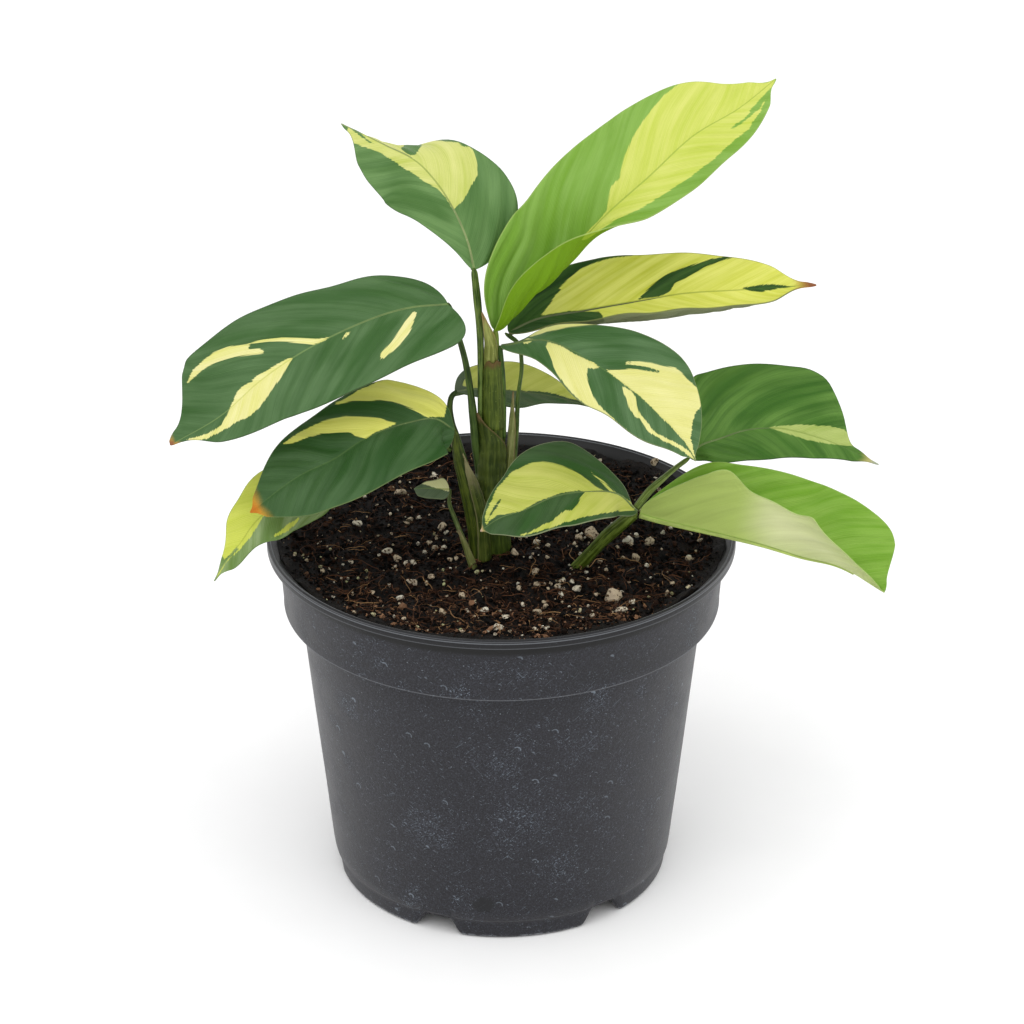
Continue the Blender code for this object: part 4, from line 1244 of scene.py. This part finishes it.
def pot_shade_and_highlights(paint, colour, place, rim, mottle, grain):
    """The plastic with its darker rim, painted shade inside, a painted reflection on the rim's inner slope,
    and painted highlights on its ridges, with a pale line along its foot.
    """
    x, y, z = place.split()
    radius = paint.maths("SQRT", x * x + y * y)
    rim_inner = RIM_RADIUS - RIM_WIDTH
    colour = paint.mix(rim * 0.85, colour, (13, 13, 16))
    # Painted shade: near black over the pot's upper inside and most of the rim's inner slope, and on the
    # collar's top just under the rim.
    inner_rim_shade = 1.0 - radius.between(rim_inner + 3.5, rim_inner + 4.1)
    colour = paint.mix(inner_rim_shade * z.between(POT_HEIGHT - 9, POT_HEIGHT - 7), colour, (2, 2, 3))
    # Painted reflection: a grainy grey on the rim's inner slope at the front and sides, fading out towards
    # the back.
    slope_reflection = rim * radius.near(rim_inner + 3.1, 0.4, 0.9) * (1.0 - y.between(10, 50))
    colour = paint.mix(slope_reflection * grain.ranged(0.0, 0.4), colour, (66, 68, 74))
    # Painted shade: the collar's inner wall is made near black from its foot upwards.
    taper = (COLLAR_FOOT_RADIUS - COLLAR_TOP_RADIUS) / (POT_HEIGHT - COLLAR_FOOT)
    inside = 1.0 - (radius + z * taper).between(70.9, 71.6)
    colour = paint.mix(inside * z.between(COLLAR_FOOT, POT_HEIGHT - 20), colour, (5, 5, 7))
    # Painted highlights, as pale lines on the rim's top ridge, on three lines round its outer face and at the
    # collar's foot; the same pale colour also makes a patchy line along the foot's bottom edge.
    ridges = rim * radius.near(rim_inner + 3.9, 0.08, 0.24)
    outer_face = radius.between(RIM_RADIUS - 0.4, RIM_RADIUS - 0.1)
    for down, strength in ((0.75, 0.4), (1.45, 0.7), (RIM_THICKNESS - 0.3, 0.35)):
        ridges = ridges.or_more(z.near(POT_HEIGHT - down, 0.08, 0.28) * outer_face * strength)
    collar_highlight = z.near(COLLAR_FOOT + 0.3, 0.12, 0.3) * mottle.ranged(0.3, 1.0)
    foot_line = z.near(0.9, 0.3, 0.7) * mottle.between(0.4, 0.6)
    ridges = ridges.or_more(collar_highlight * 0.7).or_more(foot_line)
    return paint.mix(ridges * grain.ranged(0.45, 0.9), colour, (138, 142, 148))


def pot_paint():
    """Scuffed charcoal plastic: haze, grit and scratches, a dark spot, painted shade inside, painted
    highlights and reflection on the rim, a pale foot line.
    """
    paint = Paint("pot_plastic")
    seen = paint.result("ShaderNodeTexCoord", {}, "Object")
    place = paint.dim(paint.vector_maths("ADD", {0: seen, 1: tuple(-AXIS)}), 1 / MM)
    cloud = paint.noise(place, 0.07, 3.0, 0.6)
    mottle = paint.noise(place, 0.5, 4.0, 0.7)
    grain = paint.noise(place, 2.2, 2.0, 0.6)
    fine = paint.noise(place, 1.5, 4.0, 0.85)
    worn = pot_wear(paint, place, cloud, mottle)
    grit = fine.between(0.42, 0.7) * worn.ranged(0.34, 0.62)
    colour = paint.mix(grit, paint.mix(cloud, (20, 19, 25), (27, 26, 32)), (84, 87, 99))
    colour = paint.dim(colour, grain.ranged(0.6, 1.4))
    colour = pot_scratches(paint, colour, place, worn)
    # A darker round patch with a ragged edge on the front wall.
    dark_spot = paint.away_from(place, on_pot(*DARK_SPOT)) + (mottle - 0.5) * 5.0
    colour = paint.mix((1.0 - dark_spot.between(2.8, 4.2)) * 0.85, colour, (16, 17, 21))
    rim = place.split()[2].between(POT_HEIGHT - RIM_THICKNESS - 0.4, POT_HEIGHT - RIM_THICKNESS + 0.2)
    colour = pot_shade_and_highlights(paint, colour, place, rim, mottle, grain)
    roughness = cloud.ranged(0.4, 0.5) + worn * 0.12 + rim * -0.1
    return paint.finish(colour, roughness, grain * 0.5 + mottle * 0.9, 0.1, specular=0.28, sheen=0.08)


def drain_cutter():
    """The drain holes as one solid of upright tubes."""
    cutter = bmesh.new()
    for turn in range(FOOT_COUNT):
        middle = math.radians(NOTCH_ANGLE - 90 + 360 / FOOT_COUNT * (turn + 0.5))
        drain = bmesh.ops.create_cone(cutter, cap_ends=True, segments=32, radius1=DRAIN_RADIUS * MM,
                                      radius2=DRAIN_RADIUS * MM, depth=4 * BASE_THICKNESS * MM)["verts"]
        where = np.array([DRAIN_CIRCLE * math.cos(middle), DRAIN_CIRCLE * math.sin(middle),
                          FOOT_HEIGHT + BASE_THICKNESS / 2]) * MM + AXIS
        bmesh.ops.translate(cutter, verts=drain, vec=Vector(where))
    mesh = bpy.data.meshes.new("drain_tubes")
    cutter.to_mesh(mesh)
    cutter.free()
    return add_object("drain_tubes", mesh)


def build_pot():
    """Nursery pot turned from its outline, with notches between its feet and drain holes in its floor."""
    outline = np.array(pot_outline())
    turn = np.linspace(0, 2 * math.pi, POT_COLUMNS, endpoint=False)
    notch = np.radians(NOTCH_ANGLE - 90)
    sector = 2 * math.pi / FOOT_COUNT
    from_notch = np.abs((turn - notch + sector / 2) % sector - sector / 2) * FOOT_RADIUS
    open_share = 1 - smooth_step(NOTCH_TOP_WIDTH / 2, NOTCH_FOOT_WIDTH / 2, from_notch)
    radius, height = outline[:, :1], outline[:, 1:]
    outer = radius > FOOT_RADIUS - FOOT_ROUNDING + 0.3
    reach = np.where(outer, BODY_FOOT - 1.0, FOOT_HEIGHT)
    raised = np.where(outer, NOTCH_HEIGHT, FOOT_HEIGHT * 0.96) * open_share
    foot = (height < reach) & (radius > FOOT_RADIUS - FOOT_WALL - 0.5)
    height = np.where(foot, raised + height * (1 - raised / reach), height)
    wall = smooth_step(12, 40, height) * smooth_step(POT_HEIGHT, 110, height)
    radius = radius + 0.12 * wall * np.sin(3 * turn + 0.6) + 0.06 * wall * np.sin(7 * turn + height / 17)
    points = spread(radius * np.cos(turn), radius * np.sin(turn), height)
    mesh = mesh_of("pot_wall", points, turned_faces(*height.shape))
    mesh.set_sharp_from_angle(angle=math.radians(50))
    piece = place_piece("pot_shell", mesh, [pot_paint()], ("pot",))
    cutter = drain_cutter()
    drains = piece.modifiers.new("drains", "BOOLEAN")
    drains.operation = "DIFFERENCE"
    drains.solver = "EXACT"
    drains.object = cutter
    bpy.context.view_layer.update()
    cut = bpy.data.meshes.new_from_object(piece.evaluated_get(bpy.context.evaluated_depsgraph_get()))
    piece.modifiers.clear()
    piece.data = cut
    bpy.data.objects.remove(cutter, do_unlink=True)


# Soil

chance = np.random.default_rng(SEED)
LUMP_TURNS = chance.uniform(0, 2 * math.pi, 10)
LUMP_LENGTHS = chance.uniform(9, 34, 10)
LUMP_PHASES = chance.uniform(0, 2 * math.pi, 10)


def soil_height(x, y):
    """Height of the soil's surface at a place."""
    height = np.full(np.shape(x), SOIL_TOP - 0.6)
    for turn, length, phase in zip(LUMP_TURNS, LUMP_LENGTHS, LUMP_PHASES):
        across = x * math.cos(turn) + y * math.sin(turn)
        height = height + 0.26 * np.sin(across * 2 * math.pi / length + phase)
    near_stems = np.exp(-((x + 3) ** 2 + (y + 9) ** 2) / 240)
    edge = smooth_step(66, SOIL_RADIUS, np.hypot(x, y))
    return height + 1.6 * near_stems + 3.2 * edge


def soil_paint():
    """Dark wet peat."""
    paint = Paint("soil_peat")
    place = paint.kept("soil_place")
    clods = paint.noise(place, 0.25, 4.0, 0.65)
    grain = paint.noise(place, 1.6, 3.0, 0.6)
    colour = paint.mix(clods.between(0.35, 0.7), (4, 3, 2), (26, 18, 13))
    colour = paint.dim(colour, grain.ranged(0.5, 1.5))
    return paint.finish(colour, grain.ranged(0.75, 0.95), clods + grain * 0.5, 1.2, specular=0.25)


def build_soil_bed():
    """Closed body of soil with a lumpy top."""
    turn = np.linspace(0, 2 * math.pi, SOIL_COLUMNS, endpoint=False)
    radius = np.linspace(0.6, SOIL_RADIUS - 0.4, SOIL_RINGS)[:, None]
    x = radius * np.cos(turn)
    y = radius * np.sin(turn)
    rough = 0.5 * np.sin(x * 1.9 + 2 * np.sin(y * 0.9)) * np.sin(y * 1.7 + 2 * np.sin(x * 1.1))
    top = spread(x, y, soil_height(x, y) - 0.3 + rough)
    bottom = FOOT_HEIGHT + BASE_THICKNESS + 0.3
    wall = np.array([
        (COLLAR_TOP_RADIUS - WALL - 0.3, SOIL_TOP - 0.6),
        (COLLAR_FOOT_RADIUS - WALL - 0.4, COLLAR_FOOT + 1.6),
        (BODY_TOP_RADIUS - WALL - 0.4, COLLAR_FOOT - 2),
        (BODY_FOOT_RADIUS - WALL - 0.4, BODY_FOOT + 1),
        (FOOT_RADIUS - WALL - 1, bottom),
        (0.6, bottom),
    ])
    sides = spread(wall[:, :1] * np.cos(turn), wall[:, :1] * np.sin(turn), wall[:, 1:])
    points = np.concatenate([top, sides])
    mesh = mesh_of("soil_bed_body", points, turned_faces(len(points), len(turn)))
    give(mesh, "soil_place", points)
    place_piece("soil_bed", mesh, [soil_paint()], ("soil",))


def ball_shape(level):
    """Corners and faces of a round of triangles, eight of them at level 0."""
    if level == 0:
        corners = np.vstack([np.eye(3), -np.eye(3)])
        belt = (0, 1, 3, 4)
        upper = [(first, second, 2) for first, second in zip(belt, belt[1:] + belt[:1])]
        lower = [(second, first, 5) for first, second, _ in upper]
        return corners, np.array(upper + lower)
    ball = bmesh.new()
    bmesh.ops.create_icosphere(ball, subdivisions=level, radius=1.0)
    corners = np.array([corner.co for corner in ball.verts])
    faces = np.array([[corner.index for corner in face.verts] for face in ball.faces])
    ball.free()
    return corners, faces


def random_turns(count):
    """Random rotation matrices."""
    square = np.linalg.qr(chance.normal(size=(count, 3, 3)))[0]
    return square * np.sign(np.linalg.det(square))[:, None, None]


def scattered(count):
    """Random places on the soil, as x and y."""
    radius = (SOIL_RADIUS - 1.3) * np.sqrt(chance.uniform(0, 1, count))
    turn = chance.uniform(0, 2 * math.pi, count)
    return radius * np.cos(turn), radius * np.sin(turn)


def lumps_mesh(name, places, sizes, level, jitter, flat, tones, cuts=0):
    """Many uneven lumps in one mesh, each with a tone of its own and flat where planes cut it."""
    corners, faces = ball_shape(level)
    count = len(places)
    bent = corners[None] * (1 + chance.normal(0, jitter, (count, len(corners), 1)))
    for _ in range(cuts):
        facing = unit(chance.normal(size=(count, 1, 3)))
        plane = chance.uniform(0.35, 0.8, (count, 1, 1))
        beyond = np.maximum((bent * facing).sum(-1, keepdims=True) - plane, 0)
        bent = bent - 0.85 * beyond * facing
    turned = np.einsum("nij,nkj->nki", random_turns(count), bent * sizes[:, None, :])
    turned[..., 2] *= flat
    points = places[:, None] + turned
    numbers = faces[None] + (np.arange(count) * len(corners))[:, None, None]
    mesh = mesh_of(name, points, numbers.reshape(-1, 3), smooth=level > 1)
    give(mesh, "soil_place", points)
    give(mesh, "tone", np.repeat(tones, len(corners)))
    return mesh


def scattered_clear(count):
    """Random places on the soil that don't lie in a stem, as x and y."""
    x, y = scattered(count)
    clear = np.full(count, True)
    for stalk in STALKS.values():
        if stalk.planted:
            clear &= np.hypot(x - stalk.route[0][0], y - stalk.route[0][1]) > stalk.radius[0] * 0.9
    return x[clear], y[clear]


def crumb_paint():
    """Crumbs of peat and bark, from nearly black to reddish brown."""
    paint = Paint("crumb_peat")
    tone = paint.kept("tone", "Fac")
    grain = paint.noise(paint.kept("soil_place"), 2.2, 3.0, 0.6)
    colour = paint.mix(tone.between(0.4, 0.9), (4, 3, 2), (54, 34, 23))
    colour = paint.mix(tone.between(0.86, 1.0), colour, (150, 112, 84))
    colour = paint.dim(colour, grain.ranged(0.35, 1.65))
    return paint.finish(colour, grain.ranged(0.7, 0.95), grain, 0.5, specular=0.1)


def build_crumbs():
    """The soil's loose surface: crumbs, and finer bits between and on them."""
    paint = crumb_paint()
    kinds = (("soil_crumbs", CRUMBS, 0.35, 0.95, 1, 0.24, (-0.5, 0.7)),
             ("soil_dust", DUST, 0.16, 0.42, 0, 0.35, (-0.1, 1.25)))
    for name, number, least, more, level, jitter, span in kinds:
        x, y = scattered_clear(number)
        count = len(x)
        size = least + more * chance.uniform(0, 1, count) ** 2.2
        size = size * (1 - 0.6 * smooth_step(74, 76, np.hypot(x, y)))
        sizes = size[:, None] * chance.uniform(0.45, 1.4, (count, 3))
        z = soil_height(x, y) + chance.uniform(*span, count)
        front = smooth_step(-30, -62, y)
        tones = np.clip(chance.uniform(0, 1, count) + 0.14 * front - 0.08, 0, 1)
        mesh = lumps_mesh(f"{name}_heap", spread(x, y, z), sizes, level, jitter, 0.8, tones)
        place_piece(name, mesh, [paint])


def granule_paint():
    """White and greenish granules with dirt in their pits."""
    paint = Paint("granule_stone")
    place = paint.kept("soil_place")
    tone = paint.kept("tone", "Fac")
    pits = paint.noise(place, 0.9, 3.0, 0.6)
    grain = paint.noise(place, 3.0)
    colour = paint.mix(tone.between(0.0, 0.55), (236, 230, 210), (204, 186, 158))
    colour = paint.mix(tone.between(0.7, 1.0), colour, (194, 198, 146))
    colour = paint.mix(pits.between(0.51, 0.62), colour, (84, 66, 48))
    colour = paint.dim(colour, grain.ranged(0.7, 1.15))
    return paint.finish(colour, grain.ranged(0.75, 0.95), pits, 0.8, specular=0.15)


def build_granules():
    """Granules: the larger ones where the photograph shows them, and small ones all over."""
    spots = np.array(GRANULES, float)
    big = np.array([on_level(x, y, SOIL_TOP + 0.6) for x, y, _ in spots])
    half = spots[:, 2] * PIXEL / 2
    big[:, 2] = soil_height(big[:, 0], big[:, 1]) + 0.55 * half
    big_sizes = half[:, None] * chance.uniform(0.8, 1.5, (len(big), 3))
    big_tones = 0.72 * chance.uniform(0, 1, len(big))
    x, y = scattered_clear(SMALL_GRANULES)
    size = 0.28 + 0.75 * chance.uniform(0, 1, len(x)) ** 2
    sizes = size[:, None] * chance.uniform(0.7, 1.2, (len(x), 3))
    z = soil_height(x, y) + 0.7 + 0.3 * size
    tones = chance.uniform(0, 1, len(x))
    paint = granule_paint()
    mesh = lumps_mesh("granule_large", big, big_sizes, 3, 0.06, 0.85, big_tones, cuts=9)
    place_piece("soil_granules_large", mesh, [paint])
    mesh = lumps_mesh("granule_small", spread(x, y, z), sizes, 2, 0.1, 0.9, tones, cuts=5)
    place_piece("soil_granules_small", mesh, [paint])


def fibre_paint():
    """Coir and root fibres."""
    paint = Paint("fibre_coir")
    tone = paint.kept("tone", "Fac")
    grain = paint.noise(paint.kept("soil_place"), 1.2)
    colour = paint.mix(tone.between(0.0, 0.75), (40, 25, 16), (96, 62, 40))
    colour = paint.mix(tone.between(0.8, 1.0), colour, (172, 134, 92))
    colour = paint.dim(colour, grain.ranged(0.6, 1.4))
    return paint.finish(colour, grain.ranged(0.6, 0.85), grain, 0.2, specular=0.15)


def build_fibres():
    """Thin bent fibres that lie on the soil, more of them at the front."""
    x, y = scattered(FIBRES)
    keep = chance.uniform(0, 1, FIBRES) < 0.45 + 0.55 * smooth_step(-15, -55, y)
    keep &= np.hypot(x, y) < FIBRE_CIRCLE
    x, y = x[keep], y[keep]
    count = len(x)
    steps = 6
    sides = 4
    length = 1.6 + 10 * chance.uniform(0, 1, count) ** 2.4
    heading_at = chance.uniform(0, 2 * math.pi, count)
    bend = chance.normal(0, 0.9, count)
    along = np.linspace(-0.5, 0.5, steps)
    turn = heading_at[:, None] + bend[:, None] * along + 0.35 * np.sin(9 * along + heading_at[:, None])
    step = length[:, None] / (steps - 1)
    path_x = x[:, None] + np.cumsum(np.cos(turn) * step, axis=1) - (length / 2 * np.cos(heading_at))[:, None]
    path_y = y[:, None] + np.cumsum(np.sin(turn) * step, axis=1) - (length / 2 * np.sin(heading_at))[:, None]
    inwards = np.minimum(1.0, (SOIL_RADIUS - 1.6) / np.hypot(path_x, path_y))
    path_x, path_y = path_x * inwards, path_y * inwards
    lift = 1.0 + 0.7 * np.cos(along * math.pi) * chance.uniform(0, 1.6, count)[:, None]
    lift = lift + chance.normal(0, 0.15, (count, steps))
    middle = spread(path_x, path_y, soil_height(path_x, path_y) + lift)
    tangent = unit(np.gradient(middle, axis=1))
    side = unit(np.cross(tangent, np.array([0.0, 0.0, 1.0])))
    normal = np.cross(side, tangent)
    radius = (0.06 + 0.14 * chance.uniform(0, 1, count) ** 2)[:, None] * (1 - 1.6 * along**2)
    angle = np.linspace(0, 2 * math.pi, sides, endpoint=False)[:, None]
    ring = np.cos(angle) * side[:, :, None] + np.sin(angle) * normal[:, :, None]
    points = middle[:, :, None] + ring * radius[:, :, None, None]
    first_corner = (np.arange(count) * steps * sides)[:, None, None]
    faces = np.array(tube_faces(steps, sides))[None] + first_corner
    mesh = mesh_of("fibre_heap", points, faces.reshape(-1, 4))
    give(mesh, "soil_place", points)
    give(mesh, "tone", np.repeat(chance.uniform(0, 1, count), steps * sides))
    place_piece("soil_fibres", mesh, [fibre_paint()])


# Stage, light and camera

def build_floor():
    """Plain pale floor."""
    size = 6.0
    mesh = bpy.data.meshes.new("floor")
    corners = [(-size, -size, 0), (size, -size, 0), (size, size, 0), (-size, size, 0)]
    mesh.from_pydata(corners, [], [(0, 1, 2, 3)])
    floor = add_object("floor", mesh)
    paint = Paint("floor_paper", colour_share=1.0)
    grain = paint.noise(paint.result("ShaderNodeTexCoord", {}, "Object"), 40.0)
    colour = paint.mix(grain, (250, 250, 250), (254, 254, 254))
    mesh.materials.append(paint.finish(colour, grain.ranged(0.85, 0.95), grain, 0.02, specular=0.1))


def add_light(name, place, aim, size, watts):
    """Soft square light at a place in metres, turned to an aim."""
    lamp = bpy.data.lights.new(name, "AREA")
    lamp.shape = "SQUARE"
    lamp.size = size
    lamp.energy = watts
    made = add_object(name, lamp)
    made.location = place
    made.rotation_euler = (made.location - Vector(aim)).to_track_quat("Z", "Y").to_euler()


def build_light():
    """Bright even surroundings and soft lights above and in front."""
    world = bpy.data.worlds.new("studio")
    world.use_nodes = True
    sky = world.node_tree.nodes["Background"]
    sky.inputs["Color"].default_value = (1.0, 1.0, 1.0, 1.0)
    sky.inputs["Strength"].default_value = 1.0
    scene = bpy.context.scene
    scene.world = world
    plant_middle = (0.0, 0.0, 0.15)
    add_light("key", (-0.4, -1.0, 1.9), plant_middle, 1.6, 15.0)
    add_light("fill", (1.4, -0.5, 0.9), plant_middle, 1.4, 4.0)
    scene.view_settings.view_transform = "Standard"
    scene.view_settings.look = "None"


def build_camera():
    """The photograph's camera."""
    data = bpy.data.cameras.new("photo_camera")
    data.sensor_width = SENSOR_WIDTH
    data.lens = FOCAL_PIXELS / FRAME_PIXELS * SENSOR_WIDTH
    data.clip_start = 0.05
    data.clip_end = 60.0
    camera = add_object("photo_camera", data)
    camera.location = VIEW_EYE * MM + AXIS
    camera.rotation_euler = (math.pi / 2 - VIEW_ELEVATION, 0.0, 0.0)
    bpy.context.scene.camera = camera


build_camera()
build_floor()
build_light()
build_pot()
build_soil_bed()
build_crumbs()
build_granules()
build_fibres()
for stalk_name, each_stalk in STALKS.items():
    build_stalk(stalk_name, each_stalk)
for sheath_name, each_sheath in SHEATHS.items():
    build_sheath(sheath_name, each_sheath, (sheath_name,))
for sheath_name, each_sheath in LOOSE_SHEATHS.items():
    build_sheath(sheath_name, each_sheath)
for leaf_name, each_leaf in LEAVES.items():
    build_blade(leaf_name, each_leaf)
    build_rib(leaf_name, each_leaf)

bpy.context.view_layer.update()
